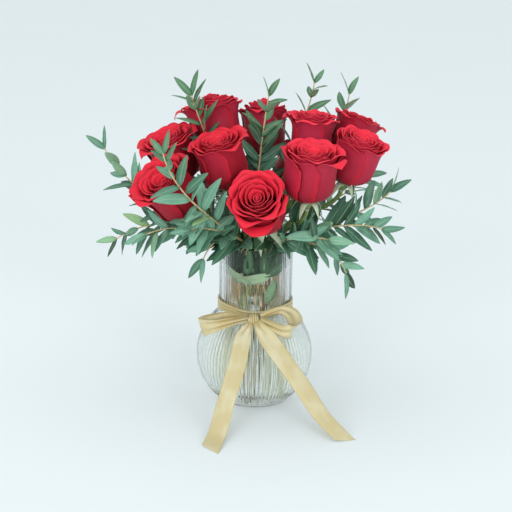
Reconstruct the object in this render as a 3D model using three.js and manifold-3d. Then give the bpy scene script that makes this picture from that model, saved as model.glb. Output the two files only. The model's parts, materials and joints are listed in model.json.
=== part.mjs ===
// Twelve red roses and sprays of narrow-leaved greenery in a ribbed glass vase, tied with a ribbon.
// Millimetres, +Z up. The origin is the middle of the vase's foot and the front looks along -Y.

import * as THREE from 'three';
import { mergeVertices } from 'three/addons/utils/BufferGeometryUtils.js';
import Module from 'manifold-3d';

const wasm = await Module();
wasm.setup();

// ---- Driving dimensions ----------------------------------------------------------------------

const CLEARANCE = 0.3;                 // gap kept between neighbouring pieces

const VASE = {
  footRadius: 35, bulbRadius: 62, bulbCentreZ: 50, neckRadius: 38.8, rimZ: 176,
  wall: 3.2, floor: 7, footEdge: 3,      // footEdge is how high the foot's rounded edge rises
  fillet: { reach: 4, out: 0.8, up: 0.5 }, // where the bulb turns into the neck
  ribs: 36, ribHeight: 0.8, outsideSteps: 5,
  insideFoot: 38, insideSides: 26, insideSteps: 4,
};
const WATER = { level: 92, sides: 20 };

const BLOOM = {
  height: 52,                          // foot to lip
  girth: 23,                           // radius of the cup
  petals: 5,                           // in each layer
  stations: [-0.92, -0.36, 0.28, 0.92], // points across a petal, from its tucked edge to its free one
  tuck: 0.045,                         // how far a petal's edges lie inside and outside its neighbours
  // Rows of points from the foot up the outside, over the outer lips, down between the layers of
  // petals and on to the heart. Radii are in girths, heights in bloom heights and turns in degrees;
  // flare widens and dip lowers the middle of each petal.
  rows: [
    { radius: 0.40, height: 0.00, turn: 0, flare: 0, dip: 0 },
    { radius: 0.80, height: 0.12, turn: 0, flare: 0.04, dip: 0 },
    { radius: 1.00, height: 0.40, turn: 0, flare: 0.04, dip: 0 },
    { radius: 0.97, height: 0.74, turn: 0, flare: 0.04, dip: 0 },
    { radius: 1.04, height: 0.91, turn: 0, flare: 0.06, dip: 0.02 },
    { radius: 1.14, height: 0.97, turn: 0, flare: 0.20, dip: 0.07 },
    { radius: 0.98, height: 0.97, turn: 6, flare: 0.02, dip: 0 },
    { radius: 0.84, height: 0.70, turn: 20, flare: 0, dip: 0 },
    { radius: 0.82, height: 0.99, turn: 36, flare: 0.05, dip: -0.02 },
    { radius: 0.60, height: 0.76, turn: 52, flare: 0, dip: 0 },
    { radius: 0.56, height: 0.99, turn: 68, flare: 0.03, dip: -0.02 },
    { radius: 0.34, height: 0.80, turn: 90, flare: 0, dip: 0 },
    { radius: 0.28, height: 0.97, turn: 112, flare: 0.02, dip: 0 },
  ],
  heart: 0.84,
};

// The bloom's face, the way it looks, its size against BLOOM, and where its stem leaves the rim:
// the radius at the waist of the bunch and the direction, in degrees anticlockwise from +X.
const OUTER_ROSE = 26;
const INNER_ROSE = 12;
const ROSES = [
  { face: [-1, -84, 244], axis: [-0.17, -0.70, 0.69], size: 1.02, waist: OUTER_ROSE, slot: -104 },
  { face: [-42, -40, 293], axis: [-0.25, -0.19, 0.95], size: 1.00, waist: INNER_ROSE, slot: -165 },
  { face: [-98, -62, 258], axis: [-0.51, -0.45, 0.73], size: 1.06, waist: OUTER_ROSE, slot: -149 },
  { face: [-95, -2, 287], axis: [-0.34, -0.20, 0.91], size: 1.00, waist: OUTER_ROSE, slot: 166 },
  { face: [-50, 32, 315], axis: [-0.20, 0.15, 0.97], size: 1.08, waist: INNER_ROSE, slot: 120 },
  { face: [6, 62, 304], axis: [0.00, 0.25, 0.97], size: 0.95, waist: INNER_ROSE, slot: 50 },
  { face: [56, 8, 309], axis: [0.05, 0.00, 1.00], size: 0.88, waist: INNER_ROSE, slot: -25 },
  { face: [55, -56, 288], axis: [0.07, -0.18, 0.98], size: 1.05, waist: OUTER_ROSE, slot: -59 },
  { face: [106, -26, 294], axis: [0.31, -0.20, 0.93], size: 0.98, waist: OUTER_ROSE, slot: -14 },
  { face: [106, 37, 303], axis: [0.35, 0.15, 0.92], size: 0.90, waist: OUTER_ROSE, slot: 31 },
  { face: [-48, 90, 252], axis: [-0.35, 0.60, 0.72], size: 1.00, waist: OUTER_ROSE, slot: 121 },
  { face: [50, 94, 250], axis: [0.35, 0.60, 0.72], size: 1.00, waist: OUTER_ROSE, slot: 76 },
];

const ROSE_STEM = { radius: 2.5, sides: 5, footZ: 8, rows: 4, taper: 0.1, pull: 0.4 };
const CALYX = {
  hipRadius: 5.2, hipLength: 12, shoulder: 3.5,
  sepals: 5, sepalReach: 17, sepalDrop: 10, sepalTip: 0.6, thickness: 1,
};
const ROSE_LEAF = {
  length: 40, width: 21, thickness: 1.6, openDegrees: 62, bend: 0.12,
  rows: [0.22, 0.5, 0.8], at: 0.6, turn: 137, // one leaf a stem, turned on from rose to rose
};

// Greenery: the stem leaves the rim at its slot, rises by lift, bends by way of via and ends at tip.
const RIM_SPRAY = 31;
const MIDDLE_SPRAY = 19.5;
const SPRAYS = [
  { tip: [-158, -12, 276], via: [-118, -28, 208], lift: 22, waist: RIM_SPRAY, slot: -169 },
  { tip: [-146, -24, 182], via: [-98, -14, 214], lift: 10, waist: RIM_SPRAY, slot: 168 },
  { tip: [-91, -100, 292], via: [-76, -118, 240], lift: 14, waist: RIM_SPRAY, slot: -127 },
  { tip: [-69, -5, 331], via: [-56, -5, 285], lift: 60, waist: MIDDLE_SPRAY, slot: 160 },
  { tip: [10, 8, 330], via: [1, 4, 275], lift: 55, waist: MIDDLE_SPRAY, slot: -130 },
  { tip: [58, 46, 338], via: [52, 44, 290], lift: 50, waist: MIDDLE_SPRAY, slot: 20 },
  { tip: [97, 72, 322], via: [92, 68, 262], lift: 26, waist: RIM_SPRAY, slot: 44 },
  { tip: [137, -20, 238], via: [108, -20, 204], lift: 12, waist: RIM_SPRAY, slot: -30 },
  { tip: [127, -50, 206], via: [92, -42, 216], lift: 10, waist: RIM_SPRAY, slot: -52 },
  { tip: [92, -56, 160], via: [78, -58, 204], lift: 8, waist: RIM_SPRAY, slot: -72 },
  { tip: [70, -94, 207], via: [54, -68, 206], lift: 6, waist: RIM_SPRAY, slot: -84 },
  { tip: [-64, -86, 212], via: [-40, -66, 213], lift: 6, waist: RIM_SPRAY, slot: -118 },
  { tip: [-112, -52, 196], via: [-76, -34, 210], lift: 8, waist: RIM_SPRAY, slot: -145 },
  { tip: [-112, 62, 250], via: [-78, 44, 210], lift: 10, waist: RIM_SPRAY, slot: 148 },
  { tip: [122, 66, 232], via: [86, 44, 208], lift: 10, waist: RIM_SPRAY, slot: 10 },
  { tip: [-62, 128, 200], via: [-42, 84, 206], lift: 8, waist: RIM_SPRAY, slot: 104 },
  { tip: [68, 124, 196], via: [54, 80, 200], lift: 8, waist: RIM_SPRAY, slot: 52 },
  { tip: [-54, -56, 172], via: [-38, -40, 206], lift: 5, waist: RIM_SPRAY, slot: -136 },
];
const SPRAY_STEM = { radius: 1.4, sides: 3, footZ: 24, rows: 5, taper: 0.3 };
const SPRAY_LEAF = {
  length: 32, tipLength: 20, width: 9, thickness: 1.4, openDegrees: 52, tipOpenDegrees: 24, bend: 0.10,
  rows: [0.28, 0.68], spacing: 18, bare: 0.24, // bare is the share of the stem without leaves
};

// All stems lean the same way round the bunch: sideways by LEAN for each millimetre of height.
const LEAN = 0.18;
const WAIST_Z = 140;                   // where the bunch of stems is narrowest
const STEM_TOP_Z = 178;                // where the straight part of a stem ends

const RIBBON = { width: 20, thickness: 1 };
const BAND = { innerRadius: 40.5, middleZ: 107, frontHeight: 7, sideHeight: 13, sides: 22 };
const KNOT = { centre: [-1, -49, 105.5], halfSize: [6, 6.5, 6], sides: 8, rows: 5 };
const GATHER = 0.4;                    // the share of the ribbon's width that is left at the knot
// A ribbon piece runs through these points; across is its width direction at its two ends, and cut
// how far its free end is cut aslant.
const STRIPS = [
  {
    name: 'ribbon_loop_left',
    points: [[-8, -50, 106], [-28, -61, 103], [-48, -62, 98], [-57, -56, 96], [-48, -49, 98],
      [-28, -45, 104], [-8, -46, 107]],
    across: [[0.15, -0.1, 1], [0.15, -0.1, 1]], free: false, cut: 0,
  },
  {
    name: 'ribbon_loop_right',
    points: [[6, -47, 108], [16, -46, 113], [30, -44, 115], [42, -44, 112], [48, -47, 105],
      [45, -53, 97], [34, -56, 95], [20, -54, 98], [7, -50, 103]],
    across: [[0.1, -0.55, 0.83], [0.1, -0.55, 0.83]], free: false, cut: 0,
  },
  {
    name: 'ribbon_tail_left',
    points: [[-7, -54, 98], [-11, -59, 90], [-17, -71, 64], [-28, -93, 31], [-36, -117, 7],
      [-42, -140, 0.8]],
    across: [[1, -0.2, 0.1], [0.92, -0.38, 0]], free: true, cut: 4,
  },
  {
    name: 'ribbon_tail_right',
    points: [[4, -57, 99], [13, -62, 90], [29, -72, 70], [49, -81, 47], [70, -96, 16],
      [93, -114, 0.8]],
    across: [[1, 0.2, 0.1], [0.8, 0.6, 0]], free: true, cut: 7,
  },
];
const STEPS_PER_POINT = 2;

const PAINT = {
  glass: { color: 0xe8f0f0, roughness: 0.05, metalness: 0 },
  water: { color: 0xdfe9e6, roughness: 0.02, metalness: 0 },
  petal: { color: 0xc8142c, roughness: 0.55, metalness: 0 },
  stem: { color: 0x5d7f45, roughness: 0.6, metalness: 0 },
  leaf: { color: 0x4f8068, roughness: 0.6, metalness: 0 },
  ribbon: { color: 0xd9c48c, roughness: 0.35, metalness: 0 },
};

// ---- Small helpers ---------------------------------------------------------------------------

const TURN = Math.PI * 2;
const radians = THREE.MathUtils.degToRad;
const vector = ([x, y, z]) => new THREE.Vector3(x, y, z);

// A repeatable draw from 0 to 1 for a whole number.
function draw(number) {
  const value = Math.sin(number * 12.9898 + 4.1) * 43758.5453;
  return value - Math.floor(value);
}

// Points [radius, height] along a circle's arc, for a turned profile.
function arcPoints(radius, centreZ, from, to, steps) {
  return Array.from({ length: steps + 1 }, (_, i) => {
    const angle = THREE.MathUtils.lerp(from, to, i / steps);
    return [radius * Math.cos(angle), centreZ + radius * Math.sin(angle)];
  });
}

// ---- Closed meshes and solids ----------------------------------------------------------------

function signedVolume(points, triangles) {
  let sum = 0;
  for (const [a, b, c] of triangles) {
    sum += points[a].dot(new THREE.Vector3().crossVectors(points[b], points[c]));
  }
  return sum / 6;
}

// Points and triangles become a solid whose faces look out.
function solidOf(points, triangles) {
  const outward = signedVolume(points, triangles) > 0;
  const vertProperties = Float32Array.from(points.flatMap((p) => p.toArray()));
  const triVerts = Uint32Array.from(triangles.flatMap(([a, b, c]) => (outward ? [a, b, c] : [a, c, b])));
  return new wasm.Manifold(new wasm.Mesh({ numProp: 3, vertProperties, triVerts }));
}

// Rows of points, each a ring of the same number or a single point, become one closed body.
function loft(rows) {
  const points = rows.flat();
  const triangles = [];
  const starts = rows.map((_, i) => rows.slice(0, i).reduce((sum, row) => sum + row.length, 0));
  const cap = (row) => {
    for (let i = 1; i + 1 < rows[row].length; i++) {
      const ends = row === 0 ? [i + 1, i] : [i, i + 1];
      triangles.push([starts[row], starts[row] + ends[0], starts[row] + ends[1]]);
    }
  };
  cap(0);
  for (let row = 0; row + 1 < rows.length; row++) {
    const sides = Math.max(rows[row].length, rows[row + 1].length);
    for (let i = 0; i < sides; i++) {
      const j = (i + 1) % sides;
      const lower = rows[row].length === 1 ? [0, 0] : [i, j];
      const upper = rows[row + 1].length === 1 ? [0, 0] : [i, j];
      const [a, b] = lower.map((k) => starts[row] + k);
      const [d, c] = upper.map((k) => starts[row + 1] + k);
      if (a !== b) triangles.push([a, b, c]);
      if (c !== d) triangles.push([a, c, d]);
    }
  }
  cap(rows.length - 1);
  return solidOf(points, triangles);
}

// A three.js geometry becomes a solid.
function solidOfGeometry(geometry) {
  geometry.deleteAttribute('normal');
  geometry.deleteAttribute('uv');
  const merged = mergeVertices(geometry, 1e-4);
  const points = [];
  const position = merged.getAttribute('position');
  for (let i = 0; i < position.count; i++) points.push(new THREE.Vector3().fromBufferAttribute(position, i));
  const triangles = [];
  for (let i = 0; i < merged.index.count; i += 3) {
    const corners = [0, 1, 2].map((k) => merged.index.getX(i + k));
    if (new Set(corners).size === 3) triangles.push(corners);
  }
  return solidOf(points, triangles);
}

// A profile of [radius, height] points is turned about +Z.
function turned(profile, sides) {
  const outline = profile.map(([radius, z]) => new THREE.Vector2(radius, z));
  return new THREE.LatheGeometry(outline, sides).rotateX(Math.PI / 2);
}

function joined(solids) {
  return solids.reduce((whole, solid) => whole.add(solid));
}

function geometryOf(solid) {
  const mesh = solid.getMesh();
  const geometry = new THREE.BufferGeometry();
  geometry.setAttribute('position', new THREE.BufferAttribute(new Float32Array(mesh.vertProperties), 3));
  geometry.setIndex(new THREE.BufferAttribute(new Uint32Array(mesh.triVerts), 1));
  geometry.computeVertexNormals();
  return geometry;
}

// ---- The pieces placed so far ----------------------------------------------------------------

const bouquet = new THREE.Group();
const placed = new Map();              // name -> its solids, in the world

function remember(name, solid) {
  if (!placed.has(name)) placed.set(name, []);
  const box = solid.boundingBox();
  const bounds = new THREE.Box3(vector(box.min), vector(box.max)).expandByScalar(CLEARANCE);
  placed.get(name).push({ solid, bounds });
}

// Whether a solid comes within the clearance of any piece but its own.
function touchesOthers(solid, ownName) {
  const box = solid.boundingBox();
  const bounds = new THREE.Box3(vector(box.min), vector(box.max));
  for (const [name, pieces] of placed) {
    if (name === ownName) continue;
    for (const piece of pieces) {
      if (!piece.bounds.intersectsBox(bounds)) continue;
      if (solid.minGap(piece.solid, CLEARANCE * 2) < CLEARANCE) return true;
    }
  }
  return false;
}

function addMesh(name, solid, paint, matrix = new THREE.Matrix4()) {
  const mesh = new THREE.Mesh(geometryOf(solid), new THREE.MeshStandardMaterial(PAINT[paint]));
  mesh.name = name;
  mesh.applyMatrix4(matrix);
  bouquet.add(mesh);
}

// ---- Vase and water --------------------------------------------------------------------------

// The height at which the bulb, grown by extra, is as wide as the neck.
function shoulderZ(extra) {
  return VASE.bulbCentreZ + Math.sqrt((VASE.bulbRadius + extra) ** 2 - (VASE.neckRadius + extra) ** 2);
}

// The vase's outer profile from the foot to the start of the neck; a negative extra gives the inside.
function vaseProfile(extra, footRadius, footZ, arcSteps) {
  const { bulbCentreZ, footEdge, fillet } = VASE;
  const bulb = VASE.bulbRadius + extra;
  const neck = VASE.neckRadius + extra;
  const shoulder = shoulderZ(extra);
  const lowest = Math.asin((footZ + footEdge - bulbCentreZ) / bulb);
  const highest = Math.asin((shoulder - fillet.reach - bulbCentreZ) / bulb);
  return [
    [footRadius, footZ],
    ...arcPoints(bulb, bulbCentreZ, lowest, highest, arcSteps),
    [neck + fillet.out, shoulder + fillet.up],
    [neck, shoulder + fillet.reach],
  ];
}

// Every second column of points on the outside stands proud, which makes the upright ribs.
function raiseRibs(geometry) {
  const position = geometry.getAttribute('position');
  for (let i = 0; i < position.count; i++) {
    const x = position.getX(i);
    const y = position.getY(i);
    const radius = Math.hypot(x, y);
    if (radius < 1) continue;
    const scale = 1 + (VASE.ribHeight / 2) * Math.cos(VASE.ribs * Math.atan2(y, x)) / radius;
    position.setXY(i, x * scale, y * scale);
  }
  return geometry;
}

function makeVase() {
  const outside = [[0, 0], ...vaseProfile(0, VASE.footRadius, 0, VASE.outsideSteps),
    [VASE.neckRadius, VASE.rimZ], [0, VASE.rimZ]];
  const aboveRim = VASE.rimZ + VASE.wall;
  const innerNeck = VASE.neckRadius - VASE.wall;
  const inside = [[0, VASE.floor], ...vaseProfile(-VASE.wall, VASE.insideFoot, VASE.floor, VASE.insideSteps),
    [innerNeck, aboveRim], [0, aboveRim]];
  const body = solidOfGeometry(raiseRibs(turned(outside, VASE.ribs * 2)));
  return body.subtract(solidOfGeometry(turned(inside, VASE.insideSides)));
}

// The water fills the inside up to its level, with a hole round every stem.
function makeWater(stemHoles) {
  const inset = -VASE.wall - CLEARANCE * 2;
  const bottom = VASE.floor + CLEARANCE;
  const profile = vaseProfile(inset, VASE.insideFoot - 1, bottom, VASE.insideSteps);
  const top = profile[profile.length - 1][1];
  const full = solidOfGeometry(turned([[0, bottom], ...profile, [0, top]], WATER.sides));
  const block = new THREE.BoxGeometry(VASE.bulbRadius * 2, VASE.bulbRadius * 2, VASE.bulbRadius);
  const above = solidOfGeometry(block.translate(0, 0, WATER.level + VASE.bulbRadius / 2));
  return stemHoles.reduce((water, hole) => water.subtract(hole), full.subtract(above));
}

// ---- Stems -----------------------------------------------------------------------------------

// A point of the straight part of a stem, at a height.
function slotPoint({ waist, slot }, z) {
  const angle = radians(slot);
  const aside = LEAN * (z - WAIST_Z);
  return new THREE.Vector3(
    waist * Math.cos(angle) - aside * Math.sin(angle),
    waist * Math.sin(angle) + aside * Math.cos(angle),
    z,
  );
}

function slotDirection(stem) {
  return slotPoint(stem, 1).sub(slotPoint(stem, 0)).normalize();
}

// The ring of points of a stem's section, across its direction.
function section(centre, direction, radius, sides) {
  const reference = Math.abs(direction.z) > 0.9 ? new THREE.Vector3(0, 1, 0) : new THREE.Vector3(0, 0, 1);
  const across = new THREE.Vector3().crossVectors(reference, direction).normalize();
  const up = new THREE.Vector3().crossVectors(direction, across);
  return Array.from({ length: sides }, (_, i) => {
    const angle = (i / sides) * TURN;
    return centre.clone()
      .addScaledVector(across, radius * Math.cos(angle))
      .addScaledVector(up, radius * Math.sin(angle));
  });
}

// A tube through stations of { centre, direction, radius }, its section turned as little as possible.
function tube(stations, sides) {
  const rings = [];
  stations.forEach((station, index) => {
    const ring = section(station.centre, station.direction, station.radius, sides);
    if (index === 0) {
      rings.push(ring);
      return;
    }
    const start = rings[index - 1][0].clone().sub(stations[index - 1].centre);
    let best = 0;
    let closest = -Infinity;
    ring.forEach((point, i) => {
      const match = point.clone().sub(station.centre).dot(start);
      if (match > closest) [best, closest] = [i, match];
    });
    rings.push([...ring.slice(best), ...ring.slice(0, best)]);
  });
  return loft(rings);
}

// A stem: straight from its foot to the rim, then along its curve.
function stemSolid(curve, stem, { footZ, radius, rows, taper, sides }) {
  const stations = [{ centre: slotPoint(stem, footZ), direction: slotDirection(stem), radius }];
  for (let i = 0; i <= rows; i++) {
    const t = i / rows;
    stations.push({
      centre: curve.getPoint(t), direction: curve.getTangent(t), radius: radius * (1 - taper * t),
    });
  }
  return tube(stations, sides);
}

// The point of a stem's straight-sided tube at t, where a leaf takes root.
function rootPoint(curve, rows, t) {
  const row = Math.min(rows - 1, Math.floor(t * rows));
  return curve.getPoint(row / rows).lerp(curve.getPoint((row + 1) / rows), t * rows - row);
}

// ---- Roses -----------------------------------------------------------------------------------

function roseAxis(rose) {
  return vector(rose.axis).normalize();
}

function roseFoot(rose) {
  return vector(rose.face).addScaledVector(roseAxis(rose), -BLOOM.height * rose.size);
}

function roseCurve(rose) {
  const axis = roseAxis(rose);
  const start = slotPoint(rose, STEM_TOP_Z);
  const end = roseFoot(rose).addScaledVector(axis, -CALYX.hipLength + 1);
  const pull = start.distanceTo(end) * ROSE_STEM.pull;
  return new THREE.CubicBezierCurve3(
    start,
    start.clone().addScaledVector(slotDirection(rose), pull),
    end.clone().addScaledVector(axis, -pull),
    end,
  );
}

// The bloom's own frame: its foot at the origin and its face along +Z.
function roseMatrix(rose) {
  const turn = new THREE.Quaternion().setFromUnitVectors(new THREE.Vector3(0, 0, 1), roseAxis(rose));
  return new THREE.Matrix4().compose(roseFoot(rose), turn, new THREE.Vector3(1, 1, 1));
}

// A row of a bloom: petal after petal, each a little off the true circle, its free edge outside
// the tucked edge of the next, and its middle rolled out to a blunt point.
function petalRow(row, rose, index) {
  const girth = BLOOM.girth * rose.size;
  const height = BLOOM.height * rose.size;
  const sector = TURN / BLOOM.petals;
  return Array.from({ length: BLOOM.petals }, (_, petal) => BLOOM.stations.map((s) => {
    const bulge = (1 - s * s) * (0.8 + 0.4 * draw(index * 10 + petal));
    const radius = girth * (row.radius * (1 + BLOOM.tuck * s) + row.flare * bulge);
    const angle = radians(row.turn + 60 * index) + (petal + (s + 1) / 2) * sector;
    const z = height * (row.height - row.dip * bulge);
    return new THREE.Vector3(radius * Math.cos(angle), radius * Math.sin(angle), z);
  })).flat();
}

function makeBloom(rose, index) {
  const rows = BLOOM.rows.map((row) => petalRow(row, rose, index));
  return loft([...rows, [new THREE.Vector3(0, 0, BLOOM.heart * BLOOM.height * rose.size)]]);
}

// Hip and sepals in one star-shaped cup under the bloom.
function makeCalyx() {
  const points = CALYX.sepals * 2;
  const ringOf = (tip, valley) => Array.from({ length: points }, (_, i) => {
    const [radius, z] = i % 2 ? valley : tip;
    const angle = (i / points) * TURN;
    return new THREE.Vector3(radius * Math.cos(angle), radius * Math.sin(angle), z);
  });
  const top = -CLEARANCE * 1.5;
  const under = top - CALYX.thickness;
  const tipZ = top - CALYX.sepalDrop;
  const shoulder = [CALYX.hipRadius, under - CALYX.shoulder];
  const foot = [ROSE_STEM.radius, -CALYX.hipLength];
  return loft([
    [new THREE.Vector3(0, 0, top)],
    ringOf([CALYX.sepalReach, tipZ], [CALYX.hipRadius + 1, top]),
    ringOf([CALYX.sepalReach - 2 * CALYX.sepalTip, tipZ - CALYX.sepalTip], [CALYX.hipRadius, under]),
    ringOf(shoulder, shoulder),
    ringOf(foot, foot),
  ]);
}

// ---- Leaves ----------------------------------------------------------------------------------

// A leaf from its root along direction, facing normal, with its rib below and a drooping tip.
function leafSolid(root, direction, normal, size) {
  const across = new THREE.Vector3().crossVectors(direction, normal).normalize();
  const face = new THREE.Vector3().crossVectors(across, direction).normalize();
  const middle = (t) => root.clone()
    .addScaledVector(direction, size.length * t)
    .addScaledVector(face, -size.bend * size.length * t * t);
  const rows = size.rows.map((t) => {
    const half = (size.width / 2) * Math.sin(Math.PI * t ** 0.75) ** 0.85;
    return [[-half, 0], [half, 0], [0, -size.thickness]].map(([aside, depth]) => middle(t)
      .addScaledVector(across, aside)
      .addScaledVector(face, depth));
  });
  return loft([[middle(0)], ...rows, [middle(1)]]);
}

// The leaf is turned about its stem, or shortened, until it is clear of its neighbours.
const LEAF_TRIES = [
  { turn: 0, scale: 1 }, { turn: 30, scale: 1 }, { turn: -30, scale: 1 }, { turn: 60, scale: 1 },
  { turn: -60, scale: 1 }, { turn: 0, scale: 0.7 }, { turn: 90, scale: 0.8 }, { turn: -90, scale: 0.8 },
];

function clearLeaf(name, root, along, aside, size) {
  for (const { turn, scale } of LEAF_TRIES) {
    const outward = aside.clone().applyAxisAngle(along, radians(turn));
    const open = radians(size.openDegrees);
    const direction = along.clone().multiplyScalar(Math.cos(open)).addScaledVector(outward, Math.sin(open));
    const normal = along.clone().multiplyScalar(Math.sin(open)).addScaledVector(outward, -Math.cos(open));
    const leaf = leafSolid(root, direction, normal, { ...size, length: size.length * scale });
    if (!touchesOthers(leaf, name)) {
      remember(name, leaf);
      return [leaf];
    }
  }
  return [];
}

// A direction square to along, turned about it by degrees.
function sideways(along, degrees) {
  const reference = Math.abs(along.z) > 0.9 ? new THREE.Vector3(1, 0, 0) : new THREE.Vector3(0, 0, 1);
  const across = new THREE.Vector3().crossVectors(along, reference).normalize();
  return across.applyAxisAngle(along, radians(degrees));
}

function roseLeaves(name, curve, index) {
  const along = curve.getTangent(ROSE_LEAF.at);
  const root = rootPoint(curve, ROSE_STEM.rows, ROSE_LEAF.at);
  return clearLeaf(name, root, along, sideways(along, ROSE_LEAF.turn * index), ROSE_LEAF);
}

// Pairs of opposite leaves from knot to knot, each pair turned a quarter from the last.
function sprayLeaves(name, curve, index) {
  const leaves = [];
  const length = curve.getLength();
  const knots = Math.round((length * (1 - SPRAY_LEAF.bare)) / SPRAY_LEAF.spacing);
  for (let knot = 0; knot <= knots; knot++) {
    const seed = index * 200 + knot * 5;
    const t = SPRAY_LEAF.bare + ((1 - SPRAY_LEAF.bare) * knot) / knots;
    const along = curve.getTangent(t);
    const root = rootPoint(curve, SPRAY_STEM.rows, Math.min(t, 0.99));
    const turn = knot * 90 + 40 * draw(seed);
    const fall = THREE.MathUtils.lerp(SPRAY_LEAF.length, SPRAY_LEAF.tipLength, (knot / knots) ** 2);
    for (const side of [0, 1]) {
      const size = {
        ...SPRAY_LEAF,
        length: fall * (0.85 + 0.35 * draw(seed + 1 + side)),
        openDegrees: knot === knots
          ? SPRAY_LEAF.tipOpenDegrees
          : SPRAY_LEAF.openDegrees + 16 * (draw(seed + 3) - 0.5),
      };
      leaves.push(...clearLeaf(name, root, along, sideways(along, turn + side * 180), size));
    }
  }
  return leaves;
}

// ---- Ribbon ----------------------------------------------------------------------------------

// A ring round the neck, gathered towards the knot in front.
function makeBand() {
  const rows = [
    [BAND.innerRadius, -1], [BAND.innerRadius + RIBBON.thickness, -1],
    [BAND.innerRadius + RIBBON.thickness, 1], [BAND.innerRadius, 1],
  ];
  const ring = turned([...rows, rows[0]], BAND.sides);
  const position = ring.getAttribute('position');
  for (let i = 0; i < position.count; i++) {
    const behind = 0.5 + position.getY(i) / (2 * BAND.innerRadius);
    const height = THREE.MathUtils.lerp(BAND.frontHeight, BAND.sideHeight, Math.min(1, 2 * behind));
    position.setZ(i, BAND.middleZ + (position.getZ(i) * height) / 2);
  }
  return solidOfGeometry(ring);
}

function makeKnot() {
  const ball = new THREE.SphereGeometry(1, KNOT.sides, KNOT.rows);
  return solidOfGeometry(ball.scale(...KNOT.halfSize).translate(...KNOT.centre));
}

// The share of the full width at t along a strip: drawn in at the knot.
function gatherAt(strip, t) {
  const spread = strip.free ? Math.min(1, t * 3) : Math.sin(Math.PI * t) ** 0.6;
  return THREE.MathUtils.lerp(GATHER, 1, spread);
}

// A strip of ribbon: a flat section carried along a smooth curve, which lies down on the table.
function makeStrip(strip) {
  const curve = new THREE.CatmullRomCurve3(strip.points.map(vector), false, 'centripetal');
  const steps = (strip.points.length - 1) * STEPS_PER_POINT;
  const [from, to] = strip.across.map((across) => vector(across).normalize());
  const rows = Array.from({ length: steps + 1 }, (_, i) => {
    const t = i / steps;
    const tangent = curve.getTangent(t);
    const wide = from.clone().lerp(to, t);
    wide.addScaledVector(tangent, -wide.dot(tangent)).normalize();
    const thick = new THREE.Vector3().crossVectors(wide, tangent);
    const half = (RIBBON.width / 2) * gatherAt(strip, t);
    const ahead = i === steps ? strip.cut : 0;
    return [[-1, 1], [1, 1], [1, -1], [-1, -1]].map(([side, face]) => {
      const point = curve.getPoint(t);
      point.addScaledVector(wide, side * half).addScaledVector(tangent, side * ahead);
      point.z = Math.max(point.z, RIBBON.thickness / 2 + CLEARANCE);
      return point.addScaledVector(thick, (face * RIBBON.thickness) / 2);
    });
  });
  return loft(rows);
}

// ---- Building in order -----------------------------------------------------------------------

const nodeNumber = (index) => String(index + 1).padStart(2, '0');

function buildRibbon() {
  const pieces = [['ribbon_band', makeBand()], ['ribbon_knot', makeKnot()]];
  STRIPS.forEach((strip) => pieces.push([strip.name, makeStrip(strip)]));
  for (const [name, solid] of pieces) {
    remember(name, solid);
    addMesh(name, solid, 'ribbon');
  }
}

function buildBlooms() {
  ROSES.forEach((rose, index) => {
    const name = `rose_${nodeNumber(index)}_bloom`;
    const bloom = makeBloom(rose, index);
    const matrix = roseMatrix(rose);
    remember(name, bloom.transform(matrix.elements));
    addMesh(name, bloom, 'petal', matrix);
  });
}

// Stems are all placed before any leaf, so that leaves keep clear of every stem.
function buildGreenery() {
  const stems = [];
  ROSES.forEach((rose, index) => {
    const name = `rose_${nodeNumber(index)}_stem`;
    const curve = roseCurve(rose);
    const calyx = makeCalyx().transform(roseMatrix(rose).elements);
    const solid = stemSolid(curve, rose, ROSE_STEM).add(calyx);
    stems.push({ name, curve, solid, index, paint: 'stem', leavesOf: roseLeaves });
  });
  SPRAYS.forEach((spray, index) => {
    const name = `spray_${nodeNumber(index)}`;
    const start = slotPoint(spray, STEM_TOP_Z);
    const lifted = start.clone().addScaledVector(slotDirection(spray), spray.lift);
    const curve = new THREE.CubicBezierCurve3(start, lifted, vector(spray.via), vector(spray.tip));
    const solid = stemSolid(curve, spray, SPRAY_STEM);
    stems.push({ name, curve, solid, index, paint: 'leaf', leavesOf: sprayLeaves });
  });
  stems.forEach(({ name, solid }) => remember(name, solid));
  stems.forEach(({ name, curve, solid, index, paint, leavesOf }) => {
    addMesh(name, joined([solid, ...leavesOf(name, curve, index)]), paint);
  });
}

// Round holes for every stem, a clearance wider than the stem itself.
function stemHoles() {
  const holeFor = (stem, { footZ, radius, sides }) => {
    const direction = slotDirection(stem);
    const wide = (radius + CLEARANCE) / Math.cos(Math.PI / sides);
    const ends = [footZ - CLEARANCE * 2, WATER.level + wide];
    return tube(ends.map((z) => ({ centre: slotPoint(stem, z), direction, radius: wide })), sides);
  };
  return [
    ...ROSES.map((rose) => holeFor(rose, ROSE_STEM)),
    ...SPRAYS.map((spray) => holeFor(spray, SPRAY_STEM)),
  ];
}

const vase = makeVase();
remember('vase', vase);
addMesh('vase', vase, 'glass');
addMesh('water', makeWater(stemHoles()), 'water');
buildRibbon();
buildBlooms();
buildGreenery();

export default bouquet;
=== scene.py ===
"""Looks of a bunch of red roses and narrow-leaved sprays in a ribbed glass vase with a satin bow.

Sizes are in millimetres, as in the solid model, and become metres when a mesh is made. +Z is up and
the front looks along -Y.
"""

import json
import logging
import math
from dataclasses import dataclass, field, replace
from enum import Enum
from typing import Any, Callable, Sequence

import bpy
import numpy as np
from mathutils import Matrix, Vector
from mathutils.bvhtree import BVHTree

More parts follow.
